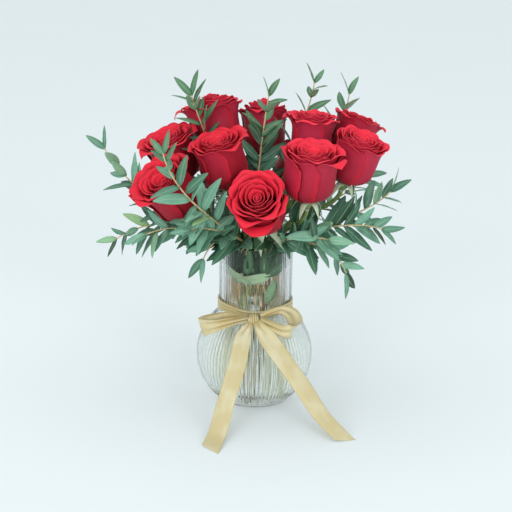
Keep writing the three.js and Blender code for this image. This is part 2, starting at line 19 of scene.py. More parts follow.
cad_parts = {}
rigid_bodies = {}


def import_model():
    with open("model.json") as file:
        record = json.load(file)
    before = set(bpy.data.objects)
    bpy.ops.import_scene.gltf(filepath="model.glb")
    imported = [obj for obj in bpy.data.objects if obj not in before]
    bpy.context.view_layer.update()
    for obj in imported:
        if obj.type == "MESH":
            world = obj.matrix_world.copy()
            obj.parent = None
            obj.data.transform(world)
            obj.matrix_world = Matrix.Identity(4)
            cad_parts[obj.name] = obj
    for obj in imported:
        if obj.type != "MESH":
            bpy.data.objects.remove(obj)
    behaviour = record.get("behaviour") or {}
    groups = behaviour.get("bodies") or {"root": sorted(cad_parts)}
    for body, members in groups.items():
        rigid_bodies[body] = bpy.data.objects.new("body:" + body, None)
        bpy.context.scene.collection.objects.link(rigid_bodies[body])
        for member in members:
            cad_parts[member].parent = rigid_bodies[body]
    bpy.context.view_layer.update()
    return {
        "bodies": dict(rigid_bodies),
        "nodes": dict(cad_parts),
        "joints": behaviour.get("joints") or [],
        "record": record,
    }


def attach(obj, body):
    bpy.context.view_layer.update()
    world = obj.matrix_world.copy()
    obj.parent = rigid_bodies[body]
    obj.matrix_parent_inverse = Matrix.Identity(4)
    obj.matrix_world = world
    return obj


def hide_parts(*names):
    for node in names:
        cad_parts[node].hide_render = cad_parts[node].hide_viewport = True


log = logging.getLogger("roses")

Array = np.ndarray
MM = 0.001
TURN = 2 * math.pi
BODY = "root"
UP = np.array([0, 0, 1.0])
DRAW_PACE, DRAW_START, DRAW_SIZE = 12.9898, 4.1, 43758.5453


# ---- Arithmetic on whole arrays ----------------------------------------------------------------

def draw(number: Any) -> Array:
    """A repeatable draw from 0 to 1: the fraction of a large multiple of a sine of the number."""
    value = np.sin(np.asarray(number, float) * DRAW_PACE + DRAW_START) * DRAW_SIZE
    return value - np.floor(value)


def unit(vectors: Array) -> Array:
    """Vectors along the last axis, each divided by its length."""
    return vectors / np.linalg.norm(vectors, axis=-1, keepdims=True)


def lerp(start: Any, end: Any, share: Any) -> Any:
    """The value a share of the way from start to end."""
    return start + (end - start) * share


def ease(value: Any, low: float, high: float) -> Array:
    """0 at low, 1 at high, and between them 3 x squared less 2 x cubed; low may be the larger."""
    x = np.clip((np.asarray(value, float) - low) / (high - low), 0, 1)
    return x * x * (3 - 2 * x)


def polar(radius: Any, angle: Any, z: Any) -> Array:
    """Points about +Z at a radius, an angle and a height."""
    return np.stack(np.broadcast_arrays(radius * np.cos(angle), radius * np.sin(angle), z), -1)


def line_length(points: Array) -> float:
    """The length of the line through points."""
    return float(np.linalg.norm(np.diff(points, axis=0), axis=1).sum())


def turned(vectors: Array, axes: Array, degrees: Any) -> Array:
    """Vectors turned about unit axes, by Rodrigues' formula.

    Args:
        vectors: Vectors along the last axis.
        axes: Unit axes of a shape that fits the vectors.
        degrees: Angles, one for each vector or one for all.

    Returns:
        The turned vectors.
    """
    angle = np.radians(np.asarray(degrees, float))[..., None]
    along = np.sum(vectors * axes, axis=-1, keepdims=True)
    return (vectors * np.cos(angle) + np.cross(axes, vectors) * np.sin(angle)
            + axes * along * (1 - np.cos(angle)))


def sideways(along: Array, degrees: Any) -> Array:
    """Directions square to along: its cross product with up, or +X where it is upright, turned.

    Args:
        along: Unit directions.
        degrees: How far the results are turned about them.

    Returns:
        Unit directions.
    """
    upright = np.abs(along[..., 2:3]) > 0.9
    reference = np.where(upright, np.array([1.0, 0, 0]), UP)
    return turned(unit(np.cross(along, reference)), along, degrees)


@dataclass(frozen=True)
class Bezier:
    """A cubic curve through its first and last corner, led by the two between."""

    corners: Array

    def points(self, t: Array) -> Array:
        """Points at t: each corner weighted by its Bernstein polynomial.

        Args:
            t: Shares of the way.

        Returns:
            One point for each share.
        """
        t = np.asarray(t, float)[..., None]
        a, b, c, d = self.corners
        return a * (1 - t) ** 3 + 3 * b * t * (1 - t) ** 2 + 3 * c * t * t * (1 - t) + d * t ** 3

    def tangents(self, t: Array) -> Array:
        """Unit directions at t, from the curve's derivative.

        Args:
            t: Shares of the way.

        Returns:
            One direction for each share.
        """
        t = np.asarray(t, float)[..., None]
        a, b, c, d = self.corners
        return unit((b - a) * (1 - t) ** 2 + 2 * (c - b) * t * (1 - t) + (d - c) * t * t)

    def length(self) -> float:
        """The sum of 200 short chords."""
        return line_length(self.points(np.linspace(0, 1, 201)))


def spline(knots: Array, t: Array) -> Array:
    """Points of the centripetal Catmull-Rom curve through the knots, t running evenly between them.

    Each stretch is a cubic whose end tangents are the three chord slopes round a knot, where a slope is
    a chord divided by the root of its length.

    Args:
        knots: Points of shape (knots, 3).
        t: Shares of the way, from 0 to 1.

    Returns:
        One point for each share.
    """
    full = np.vstack([2 * knots[0] - knots[1], knots, 2 * knots[-1] - knots[-2]])
    along = np.asarray(t, float) * (len(knots) - 1)
    start = np.clip(np.floor(along).astype(int), 0, len(knots) - 2)
    w = (along - start)[:, None]
    p0, p1, p2, p3 = (full[start + k] for k in range(4))
    chords = ((p0, p1), (p1, p2), (p2, p3))
    d0, d1, d2 = (np.sqrt(np.linalg.norm(b - a, axis=1, keepdims=True)) for a, b in chords)
    lead = ((p1 - p0) / d0 - (p2 - p0) / (d0 + d1) + (p2 - p1) / d1) * d1
    trail = ((p2 - p1) / d1 - (p3 - p1) / (d1 + d2) + (p3 - p2) / d2) * d1
    square, cube = 3 * (p2 - p1) - 2 * lead - trail, 2 * (p1 - p2) + lead + trail
    return p1 + lead * w + square * w ** 2 + cube * w ** 3


# ---- Meshes from grids of points ---------------------------------------------------------------

@dataclass
class Skin:
    """Closed surfaces for a mesh: points, faces, and each point's grain, tone and side of its sheet."""

    points: Array
    faces: list[Array]
    grain: Array
    tone: Array
    under: Array


def wrapped(points: Array, grain: Array, tone: Array, under: Array, flat_ends: bool) -> Skin:
    """Closes grids of points whose last column meets the first.

    Args:
        points: Points of shape (grids, rows, columns, 3).
        grain: Surface coordinates of shape (grids, rows, columns, 2).
        tone: A value for each grid, or for each point.
        under: 1 on the underside and 0 on top, of shape (columns,).
        flat_ends: Whether the columns are a sheet's top and underside, joined by strips at its two
            ends, or a ring, closed by one face at each end.

    Returns:
        The closed surfaces, their faces looking out.
    """
    grids, rows, columns, _ = points.shape
    index = np.arange(grids * rows * columns).reshape(grids, rows, columns)
    after = np.roll(index, -1, axis=2)
    sides = np.stack([index[:, :-1], after[:, :-1], after[:, 1:], index[:, 1:]], -1).reshape(-1, 4)
    faces = [sides]
    first, last = index[:, 0], index[:, -1]
    if flat_ends:
        half = columns // 2
        top, below = np.arange(half), columns - 1 - np.arange(half)
        low = [first[:, top[1:]], first[:, top[:-1]], first[:, below[:-1]], first[:, below[1:]]]
        high = [last[:, top[:-1]], last[:, top[1:]], last[:, below[1:]], last[:, below[:-1]]]
        faces += [np.stack(end, -1).reshape(-1, 4) for end in (low, high)]
    else:
        faces += [first[:, ::-1], last]
    each = tone if np.ndim(tone) == 3 else np.asarray(tone, float)[:, None, None]
    each, under = (np.broadcast_to(values, index.shape).reshape(-1) for values in (each, under))
    return Skin(points.reshape(-1, 3), faces, grain.reshape(-1, 2), each, under)


def grid_grain(across: Array, rows: int) -> Array:
    """Surface coordinates of a grid: the given values across, and 0 to 1 along."""
    return np.stack(np.meshgrid(across, np.linspace(0, 1, rows)), -1)


def sheets(points: Array, thickness: Any, tone: Array) -> Skin:
    """Gives grids of points a thickness and closes them.

    The top lies half a thickness along the surface's normal, which is the direction across the grid
    crossed with the direction along it, and the underside as far the other way.

    Args:
        points: Points of shape (grids, rows, columns, 3), rows along the sheet.
        thickness: One number, or an array that fits (grids, rows, columns).
        tone: A value for each grid, or for each point.

    Returns:
        The closed sheets, with grain running 0 to 1 across and along each.
    """
    grids, rows, columns, _ = points.shape
    normal = unit(np.cross(np.gradient(points, axis=2), np.gradient(points, axis=1)) + 1e-12)
    half = np.broadcast_to(np.asarray(thickness, float), (grids, rows, columns))[..., None] / 2
    ring = np.concatenate([points + normal * half, (points - normal * half)[:, :, ::-1]], axis=2)
    grain = grid_grain(np.linspace(0, 1, columns), rows)
    grain = np.concatenate([grain, grain[:, ::-1]], axis=1)
    grain = np.broadcast_to(grain, (grids, rows, 2 * columns, 2))
    if np.ndim(tone) == 3:
        tone = np.concatenate([tone, tone[:, :, ::-1]], axis=2)
    return wrapped(ring, grain, tone, np.repeat([0.0, 1.0], columns), True)


def tubes(centres: Array, radii: Array, sides: int, tone: Array) -> Skin:
    """Round tubes along lines of centres.

    Each ring lies square to the line: its centre, plus the radius times the cosine of the angle round
    it along one cross direction and the sine along the other.

    Args:
        centres: Points of shape (tubes, rows, 3).
        radii: Radii of shape (tubes, rows).
        sides: Points in a ring.
        tone: A value for each tube.

    Returns:
        The closed tubes.
    """
    count, rows, _ = centres.shape
    tangent = unit(np.gradient(centres, axis=1))
    mean = np.abs(tangent.mean(axis=1, keepdims=True))
    reference = (mean == mean.min(axis=-1, keepdims=True)).astype(float)
    across = unit(np.cross(reference, tangent))
    up = np.cross(tangent, across)
    angle = np.arange(sides) / sides * TURN
    reach = radii[..., None]
    ring = (centres[:, :, None] + across[:, :, None] * (reach * np.cos(angle))[..., None]
            + up[:, :, None] * (reach * np.sin(angle))[..., None])
    grain = np.broadcast_to(grid_grain(angle / TURN, rows), (count, rows, sides, 2))
    return wrapped(ring, grain, tone, np.zeros(sides), False)


def turned_form(radius: Array, height: Array) -> Skin:
    """A form turned about +Z: each point at its radius and angle, from the foot out, up and back in.

    Args:
        radius: Radii of shape (rows, columns).
        height: Heights of shape (rows,).

    Returns:
        The closed form.
    """
    rows, columns = radius.shape
    angle = np.arange(columns) / columns * TURN
    points = polar(radius, angle, height[:, None])
    grain = grid_grain(angle / TURN, rows)
    return wrapped(points[None], grain[None], np.zeros(1), np.zeros(columns), False)


def add_object(name: str, data: bpy.types.ID) -> bpy.types.Object:
    """Adds an object of a mesh, light or camera to the scene.

    Args:
        name: Its name.
        data: The mesh, light or camera.

    Returns:
        The object.
    """
    made = bpy.data.objects.new(name, data)
    bpy.context.scene.collection.objects.link(made)
    return made


def build_mesh(name: str, skins: Sequence[Skin], material: bpy.types.Material) -> bpy.types.Object:
    """Puts skins into one smooth mesh object in metres, with its grain, tone and underside attributes.

    Args:
        name: The object's name.
        skins: Its surfaces, in millimetres.
        material: Its material.

    Returns:
        The object.
    """
    starts = np.cumsum([0] + [len(skin.points) for skin in skins[:-1]])
    points = np.vstack([skin.points for skin in skins]) * MM
    groups = [faces + start for skin, start in zip(skins, starts) for faces in skin.faces]
    corners = np.concatenate([group.ravel() for group in groups]).astype(np.int32)
    sizes = np.concatenate([np.full(len(group), group.shape[1]) for group in groups])
    mesh = bpy.data.meshes.new(name)
    mesh.vertices.add(len(points))
    mesh.vertices.foreach_set("co", points.astype(np.float32).ravel())
    mesh.loops.add(len(corners))
    mesh.loops.foreach_set("vertex_index", corners)
    mesh.polygons.add(len(sizes))
    mesh.polygons.foreach_set("loop_start", (np.cumsum(sizes) - sizes).astype(np.int32))
    mesh.update(calc_edges=True)
    mesh.polygons.foreach_set("use_smooth", np.ones(len(sizes), bool))
    grain = np.vstack([skin.grain for skin in skins])[corners]
    mesh.uv_layers.new(name="grain").data.foreach_set("uv", grain.astype(np.float32).ravel())
    for label in ("tone", "under"):
        values = np.concatenate([getattr(skin, label) for skin in skins]).astype(np.float32)
        mesh.attributes.new(label, "FLOAT", "POINT").data.foreach_set("value", values)
    mesh.materials.append(material)
    return add_object(name, mesh)


def make_piece(name: str, skins: Sequence[Skin], material: bpy.types.Material, slot: str,
               *nodes: str) -> bpy.types.Object:
    """Makes a mesh that rides on the object and hides the solid nodes that it stands for.

    Args:
        name: Its name.
        skins: Its surfaces, in millimetres.
        material: Its material.
        slot: Not used.
        nodes: The solid nodes that it stands for.

    Returns:
        The piece.
    """
    piece = build_mesh(name, skins, material)
    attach(piece, BODY)
    if nodes:
        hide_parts(*nodes)
    log.info("%s: %d faces", piece.name, len(piece.data.polygons))
    return piece


def node_points(frame: dict[str, Any], name: str) -> Array:
    """The points of a solid node, in millimetres.

    Args:
        name: The node's name.

    Returns:
        Points of shape (points, 3).
    """
    vertices = frame["nodes"][name].data.vertices
    flat = np.empty(len(vertices) * 3, np.float32)
    vertices.foreach_get("co", flat)
    return flat.reshape(-1, 3).astype(float) / MM


# ---- Shader arithmetic -------------------------------------------------------------------------

def paint(code: str) -> tuple[float, float, float, float]:
    """A screen colour such as c8142c as linear red, green, blue and 1.

    Args:
        code: Six hexadecimal digits.

    Returns:
        The four numbers.
    """
    levels = [int(code[i:i + 2], 16) / 255 for i in (0, 2, 4)]
    red, green, blue = (v / 12.92 if v <= 0.04045 else ((v + 0.055) / 1.055) ** 2.4 for v in levels)
    return (red, green, blue, 1.0)


def operator(operation: str, swapped: bool = False) -> Callable[["Value", Any], "Value"]:
    """A method that adds a Math node on a value and another number, in that order or swapped.

    Args:
        operation: The Math node's operation.
        swapped: Whether the other number comes first.

    Returns:
        The method.
    """
    def method(self: "Value", other: Any) -> "Value":
        """A Math node on both."""
        return self.maker.math(operation, *((other, self) if swapped else (self, other)))
    return method


class Value:
    """A number from a socket; sums on it add Math nodes."""

    def __init__(self, maker: "Maker", socket: bpy.types.NodeSocket) -> None:
        """Keeps the socket and the maker of its material."""
        self.maker = maker
        self.socket = socket

    __add__ = __radd__ = operator("ADD")
    __mul__ = __rmul__ = operator("MULTIPLY")
    __sub__ = operator("SUBTRACT")
    __rsub__ = operator("SUBTRACT", swapped=True)

    def __abs__(self) -> "Value":
        """Size without sign."""
        return self.maker.math("ABSOLUTE", self)

    def step(self, low: float, high: float) -> "Value":
        """0 at low and 1 at high, smoothly between; low may be the larger.

        Args:
            low: Where it is 0.
            high: Where it is 1.

        Returns:
            The step.
        """
        made = self.maker.node("MapRange", {"Value": self, "From Min": low, "From Max": high},
                               interpolation_type="SMOOTHSTEP")
        return Value(self.maker, made.outputs["Result"])


class Maker:
    """Makes the nodes of one material or world."""

    def __init__(self, owner: bpy.types.Material | bpy.types.World) -> None:
        """Empties the owner's nodes.

        Args:
            owner: The material or world.
        """
        self.owner = owner
        owner.use_nodes = True
        self.tree = owner.node_tree
        self.tree.nodes.clear()

    @classmethod
    def of(cls, name: str) -> "Maker":
        """Starts a new material of that name."""
        return cls(bpy.data.materials.new(name))

    def node(self, kind: str, sockets: dict[Any, Any] | None = None, **settings: Any) -> bpy.types.Node:
        """Adds any node.

        Args:
            kind: Its type's name after ShaderNode.
            sockets: Numbers, links or screen colours by the input's name or number.
            settings: Properties, set first.

        Returns:
            The node.
        """
        made = self.tree.nodes.new("ShaderNode" + kind)
        for key, value in settings.items():
            setattr(made, key, value)
        for key, value in (sockets or {}).items():
            if isinstance(value, Value):
                value = value.socket
            if isinstance(value, bpy.types.NodeSocket):
                self.tree.links.new(value, made.inputs[key])
                continue
            if isinstance(value, str):
                value = paint(value)[:len(made.inputs[key].default_value)]
            made.inputs[key].default_value = value
        return made

    def math(self, operation: str, *values: Any) -> Value:
        """A Math node on values or numbers."""
        return Value(self, self.node("Math", dict(enumerate(values)), operation=operation).outputs[0])

    def attribute(self, name: str) -> Value:
        """A number stored on the mesh's points."""
        return Value(self, self.node("Attribute", attribute_name=name).outputs["Fac"])

    def parts(self, vector: bpy.types.NodeSocket) -> list[Value]:
        """The three numbers of a vector."""
        return [Value(self, socket) for socket in self.node("SeparateXYZ", {0: vector}).outputs]

    def grain(self) -> list[Value]:
        """How far across and along its sheet a point lies, from 0 to 1."""
        return self.parts(self.node("UVMap", uv_map="grain").outputs["UV"])[:2]

    def position(self) -> bpy.types.NodeSocket:
        """The point's place on the object, in metres."""
        return self.node("TexCoord").outputs["Object"]

    def vector(self, x: Any, y: Any, z: Any) -> bpy.types.NodeSocket:
        """A vector of three values."""
        return self.node("CombineXYZ", {0: x, 1: y, 2: z}).outputs[0]

    def noise(self, vector: bpy.types.NodeSocket, scale: float, detail: float = 2.0) -> Value:
        """Soft noise from 0 to 1 about a half."""
        made = self.node("TexNoise", {"Vector": vector, "Scale": scale, "Detail": detail})
        return Value(self, made.outputs[0])

    def mix(self, share: Any, low: Any, high: Any) -> bpy.types.NodeSocket:
        """The colour a share of the way from low to high."""
        return self.node("Mix", {0: share, 6: low, 7: high}, data_type="RGBA").outputs[2]

    def shade(self, colour: Any, factor: Value) -> bpy.types.NodeSocket:
        """A colour times a number."""
        grey = self.vector(factor, factor, factor)
        return self.node("VectorMath", {0: colour, 1: grey}, operation="MULTIPLY").outputs[0]

    def bump(self, height: Value, millimetres: float) -> bpy.types.NodeSocket:
        """A normal roughened by a height of so many millimetres."""
        made = self.node("Bump", {"Height": height, "Distance": millimetres * MM, "Strength": 1.0})
        return made.outputs["Normal"]

    def finish(self, **sockets: Any) -> bpy.types.Material:
        """Ends the material in a Principled shader whose sockets are named with _ for spaces.

        Args:
            sockets: Numbers, links or screen colours.

        Returns:
            The material.
        """
        named = {key.replace("_", " "): value for key, value in sockets.items()}
        shader = self.node("BsdfPrincipled", named)
        self.node("OutputMaterial", {"Surface": shader.outputs[0]})
        return self.owner


# ---- Finishes ----------------------------------------------------------------------------------

@dataclass(frozen=True)
class PetalFinish:
    """Velvety red petal: scarlet inside and at its sides, deep red to pink outside, pale at its lip, that
    paleness partly a painted highlight.
    """

    inside: str = "d61c30"
    inside_pale: str = "e22e44"
    depth: str = "c41428"
    outside: str = "980a1a"
    pale: str = "b42b47"
    outside_depth: str = "800818"
    # Lip: the petal's paler edge, and partly a painted highlight on the rolled lips.
    lip: str = "e4606c"

    def make(self) -> bpy.types.Material:
        """Builds the petal material.

        Returns:
            The material.
        """
        maker = Maker.of("rose_petal")
        across, along = maker.grain()
        spot = maker.position()
        under, tone = maker.attribute("under"), maker.attribute("tone")
        mottle = maker.noise(spot, 90.0, 3.0)
        veins = maker.noise(maker.vector(across * 46.0, along * 5.0, tone * 37.0), 1.0, 3.0)
        inside = maker.mix(tone, self.inside, self.inside_pale)
        inner = maker.mix(along.step(0.62, 0.15), inside, self.depth)
        outer = maker.mix(tone, self.outside, self.pale)
        outer = maker.mix(along.step(0.6, 0.1) * (1 - 0.8 * tone), outer, self.outside_depth)
        aside = abs(across - 0.5)
        streaks = maker.noise(maker.vector(across * 7.0, along * 1.2, tone * 53.0), 1.0, 2.0)
        outer = maker.mix(along.step(0.75, 0.92) * 0.4, outer, inside)
        outer = maker.mix(aside.step(0.26, 0.46) * (0.25 + 0.5 * streaks), outer, self.depth)
        base = maker.mix(under, outer, inner)
        # The top and the upper side edges take the lip colour: a paler edge, and partly a painted
        # highlight.
        edge = aside.step(0.455, 0.5)
        rim = maker.math("MAXIMUM", along.step(0.972, 0.995), edge * along.step(0.45, 0.7))
        lit = maker.mix(rim * (0.2 + 0.3 * mottle), base, self.lip)
        level = 0.62 + 0.22 * mottle + 0.2 * veins + 0.14 * tone + 0.24 * streaks
        return maker.finish(
            Base_Color=maker.shade(lit, level),
            Roughness=0.5 + 0.2 * mottle,
            Specular_IOR_Level=0.2,
            Sheen_Weight=0.07,
            Sheen_Roughness=0.35,
            Sheen_Tint="ff8a94",
            Normal=maker.bump(veins + 0.4 * maker.noise(spot, 1400.0), 0.16),
        )


@dataclass(frozen=True)
class LeafFinish:
    """Matt leaf with a pale rib and side veins, greyer below, yellower young and greener high up."""

    name: str
    top: str
    deep: str
    underside: str
    young: str
    rib: str
    shaded: str = "22402a"
    veins: float = 11.0
    roughness: float = 0.55
    shine: float = 0.4
    high: str = "567d50"
    high_from: float = 0.265
    high_to: float = 0.315

    def make(self) -> bpy.types.Material:
        """Builds the leaf material.

        Returns:
            The material.
        """
        maker = Maker.of(self.name)
        across, along = maker.grain()
        spot = maker.position()
        under, tone = maker.attribute("under"), maker.attribute("tone")
        aside = abs(across - 0.5)
        rib = aside.step(0.045, 0.015)
        ripple = maker.math("SINE", (along * self.veins + aside * -5.0) * TURN)
        side_veins = ripple.step(0.86, 1.0) * aside.step(0.5, 0.1)
        mottle = maker.noise(spot, 160.0, 4.0)
        patch = maker.noise(spot, 35.0, 2.0)
        body = maker.mix(tone.step(0.0, 0.2), self.shaded, self.deep)
        body = maker.mix(tone.step(0.15, 0.85), body, self.top)
        body = maker.mix(tone.step(0.86, 1.0), body, self.young)
        high = maker.parts(spot)[2].step(self.high_from, self.high_to) * (0.2 + 0.7 * patch)
        body = maker.mix(high, body, self.high)
        body = maker.mix(under * 0.85, body, self.underside)
        veined = maker.mix(rib * 0.55 + side_veins * 0.16, body, self.rib)
        level = 0.62 + 0.34 * mottle + 0.42 * patch
        return maker.finish(
            Base_Color=maker.shade(veined, level),
            Roughness=self.roughness - 0.14 * mottle,
            Specular_IOR_Level=self.shine,
            Normal=maker.bump(rib * -0.7 - side_veins * 0.5 + mottle * 0.5, 0.14),
        )


@dataclass(frozen=True)
class StemFinish:
    """Smooth green or tan stem, some browner, with streaks along it and small lighter specks; its foot in
    the vase is painted pale, a painted light.
    """

    name: str
    # Foot: the pale colour of the stem inside the vase, a painted light standing in for light through the
    # glass and water.
    foot: str
    neck: str
    tip: str
    speck: str
    brown: str = "80664a"

    def make(self) -> bpy.types.Material:
        """Builds the stem material.

        Returns:
            The material.
        """
        maker = Maker.of(self.name)
        across, along = maker.grain()
        spot = maker.position()
        streaks = maker.noise(maker.vector(across * 9.0, along * 14.0, 0.0), 1.0, 4.0)
        specks = maker.noise(spot, 900.0, 1.0).step(0.62, 0.72)
        # Pale low down: painted light on the stem seen through the vase.
        body = maker.mix(along.step(0.15, 0.24), self.foot, self.neck)
        body = maker.mix(along.step(0.28, 0.4), body, self.tip)
        body = maker.mix(maker.attribute("tone") * along.step(0.5, 0.3), body, self.brown)
        body = maker.mix(specks * 0.5, body, self.speck)
        return maker.finish(
            Base_Color=maker.shade(body, 0.6 + 0.75 * streaks),
            Roughness=0.42 + 0.25 * streaks,
            Specular_IOR_Level=0.4,
            Normal=maker.bump(streaks + 0.5 * specks, 0.12),
        )


@dataclass(frozen=True)
class SatinFinish:
    """Satin ribbon: fine threads along its length, a woven edge, a soft broad shine and painted shade in
    its creases.
    """

    colour: str = "d0c8a6"
    shadow: str = "c4b688"
    edge: str = "bfae76"
    crease_shade: str = "ae8f4a"
    threads: float = 90.0

    def make(self) -> bpy.types.Material:
        """Builds the satin material.

        Returns:
            The material.
        """
        maker = Maker.of("ribbon_satin")
        across, along = maker.grain()
        spot = maker.position()
        thread = maker.math("SINE", across * (self.threads * TURN)) * 0.5 + 0.5
        slub = maker.noise(maker.vector(across * 160.0, along * 14.0, 0.0), 1.0, 3.0)
        cloud = maker.noise(spot, 45.0, 2.0)
        selvedge = abs(across - 0.5).step(0.462, 0.478)
        weft = maker.math("SINE", along * (self.threads * 4.0)) * 0.5 + 0.5
        body = maker.mix(cloud.step(0.35, 0.75), self.shadow, self.colour)
        # Where the tone is high, in pleat valleys and fold hollows, the colour darkens toward the crease
        # colour: painted shade.
        body = maker.mix(maker.attribute("tone").step(0.35, 1.0) * 0.75, body, self.crease_shade)
        body = maker.mix(selvedge * 0.8, body, self.edge)
        return maker.finish(
            Base_Color=maker.shade(body, 0.86 + 0.2 * slub + 0.05 * thread),
            Roughness=0.34 + 0.14 * slub + 0.15 * selvedge,
            Specular_IOR_Level=0.5,
            Sheen_Weight=0.12,
            Sheen_Roughness=0.4,
            Sheen_Tint="fff6dc",
            Normal=maker.bump(thread * 0.35 + slub * 0.5 + selvedge * (0.4 + 0.5 * weft), 0.05),
        )


@dataclass(frozen=True)
class ClearFinish:
    """Clear glass or water, with faint waves and slightly rougher patches in its surface."""

    name: str
    colour: str
    bend: float
    waves: float

    def make(self) -> bpy.types.Material:
        """Builds the clear material.

        Returns:
            The material.
        """
        maker = Maker.of(self.name)
        spot = maker.position()
        cloud = maker.noise(spot, 30.0, 2.0)
        return maker.finish(
            Base_Color=maker.shade(self.colour, 0.99 + 0.01 * cloud),
            Roughness=0.004 * cloud.step(0.6, 0.8),
            IOR=self.bend,
            Specular_Tint="8c8c8c",
            Transmission_Weight=1.0,
            Normal=maker.bump(cloud, self.waves),
        )


@dataclass(frozen=True)
class FloorFinish:
    """Pale matt floor with the faintest cloud in it and a faint glow of its own."""

    colour: str = "cfd6d8"
    light: str = "dfe6e8"
    glow: float = 0.2

    def make(self) -> bpy.types.Material:
        """Builds the floor material.

        Returns:
            The material.
        """
        maker = Maker.of("floor")
        cloud = maker.noise(maker.position(), 3.0, 3.0)
        return maker.finish(Base_Color=maker.shade(self.colour, 0.98 + 0.03 * cloud), Roughness=0.7,
                            Specular_IOR_Level=0.2, Emission_Color=self.light, Emission_Strength=self.glow)


# ---- Vase and water ----------------------------------------------------------------------------

@dataclass
class Vase:
    """Ribbed glass vase: a round bulb, a straight neck and a flat foot, blown as one wall."""

    foot_radius: float = 35.0
    bulb_radius: float = 62.0
    bulb_z: float = 50.0
    neck_radius: float = 38.8
    rim_z: float = 176.0
    wall: float = 3.2
    floor: float = 7.0
    floor_radius: float = 38.0
    water_gap: float = 0.05
    edge: float = 3.0
    blend: float = 5.0
    ribs: int = 84
    bulb_rib: float = 0.55
    neck_rib: float = 0.18
    rib_start: float = 16.0
    rib_turn: tuple[float, float] = (88.0, 112.0)
    rib_stop: tuple[float, float] = (170.0, 172.5)
    steps_per_rib: int = 8
    water_level: float = 92.0
    meniscus: float = 1.2

    def radius(self, z: Array, inset: float) -> Array:
        """The wall's radius at z: the larger of the bulb's circle and the neck, rounded where they meet.

        Args:
            z: Heights.
            inset: How far inside the outer surface.

        Returns:
            One radius for each height.
        """
        circle = np.sqrt(np.clip((self.bulb_radius - inset) ** 2 - (z - self.bulb_z) ** 2, 0, None))
        neck = self.neck_radius - inset
        share = np.clip(0.5 + 0.5 * (circle - neck) / self.blend, 0, 1)
        return lerp(neck, circle, share) + self.blend * share * (1 - share)

    def side(self, low: float, high: float, inset: float, steps: int) -> tuple[Array, Array]:
        """Radii and heights up one side of the wall, closer together on the bulb's tight turns."""
        z = low + (high - low) * (1 - np.cos(np.linspace(0, math.pi, steps))) / 2
        return self.radius(z, inset), z

    def foot(self, z: float, radius: float, reach: float, steps: int) -> tuple[Array, Array]:
        """The flat bottom from near its middle out, and its edge rounded up to the bulb.

        Args:
            z: The bottom's height.
            radius: The bottom's radius, with its rounded edge.
            reach: How much of it is edge.
            steps: Points on the edge.

        Returns:
            Radii and heights.
        """
        angle = np.linspace(0, math.pi / 2, steps)
        end = float(self.radius(np.array([z + self.edge]), self.foot_inset(z))[0])
        flat = np.array([0.5, radius * 0.5, radius - reach])
        round_r = radius - reach + (end - radius + reach) * np.sin(angle)
        round_z = z + self.edge * (1 - np.cos(angle))
        return np.concatenate([flat, round_r[1:-1]]), np.concatenate([np.full(3, z), round_z[1:-1]])

    def foot_inset(self, z: float) -> float:
        """The wall that lies outside the surface whose lowest point is at z."""
        return self.wall if z > 0 else 0.0

    def make_glass(self) -> Skin:
        """The whole wall: out over the foot, up the ribbed outside, over the lip and down the inside.

        A rib adds its height times the cosine of the angle times the number of ribs. It fades in by
        rib_start, turns lower towards the neck over rib_turn and fades out under the rim over rib_stop.

        Returns:
            The wall.
        """
        lip = self.wall / 2
        foot_r, foot_z = self.foot(0.0, self.foot_radius, 3.0, 7)
        out_r, out_z = self.side(self.edge, self.rim_z - lip, 0.0, 78)
        angle = np.linspace(0, math.pi, 9)[1:-1]
        lip_r = self.neck_radius - lip + lip * np.cos(angle)
        lip_z = self.rim_z - lip + lip * np.sin(angle)
        in_r, in_z = self.side(self.floor + self.edge, self.rim_z - lip, self.wall, 40)
        floor_r, floor_z = self.foot(self.floor, self.floor_radius, 6.0, 6)
        base = np.concatenate([foot_r, out_r, lip_r, in_r[::-1], floor_r[::-1]])
        height = np.concatenate([foot_z, out_z, lip_z, in_z[::-1], floor_z[::-1]])
        columns = self.ribs * self.steps_per_rib
        flute = np.cos(np.arange(columns) / self.steps_per_rib * TURN)
        rib = lerp(self.bulb_rib, self.neck_rib, ease(height, *self.rib_turn))
        outside = np.zeros(len(base))
        outside[len(foot_r):len(foot_r) + len(out_r)] = 1
        fade = outside * ease(height, self.edge, self.rib_start) * (1 - ease(height, *self.rib_stop))
        return turned_form(base[:, None] + (rib * fade)[:, None] * flute, height)

    def make_water(self) -> Skin:
        """Water against the inner wall, its top curving up at the edge.

        Returns:
            The water.
        """
        inset = self.wall - self.water_gap
        foot_r, foot_z = self.foot(self.floor - self.water_gap, self.floor_radius, 6.0, 6)
        side_r, side_z = self.side(self.floor + self.edge, self.water_level + self.meniscus, inset, 34)
        top_r = side_r[-1] * np.array([0.985, 0.96, 0.9, 0.7, 0.4, 0.02])
        rise = self.meniscus * np.exp(-(side_r[-1] - top_r) / 1.5)
        radius = np.concatenate([foot_r, side_r, top_r])
        height = np.concatenate([foot_z, side_z, self.water_level + rise])
        return turned_form(np.repeat(radius[:, None], 96, axis=1), height)

    def build(self) -> None:
        """Makes the glass and the water, which let light through."""
        glass = ClearFinish("glass", "fdfffe", 1.5, 0.01).make()
        water = ClearFinish("water", "feffff", 1.33, 0.01).make()
        for piece in (make_piece("vase_glass", [self.make_glass()], glass, "glass", "vase"),
                      make_piece("water_body", [self.make_water()], water, "water", "water")):
            piece.visible_shadow = False


# ---- Stems -------------------------------------------------------------------------------------

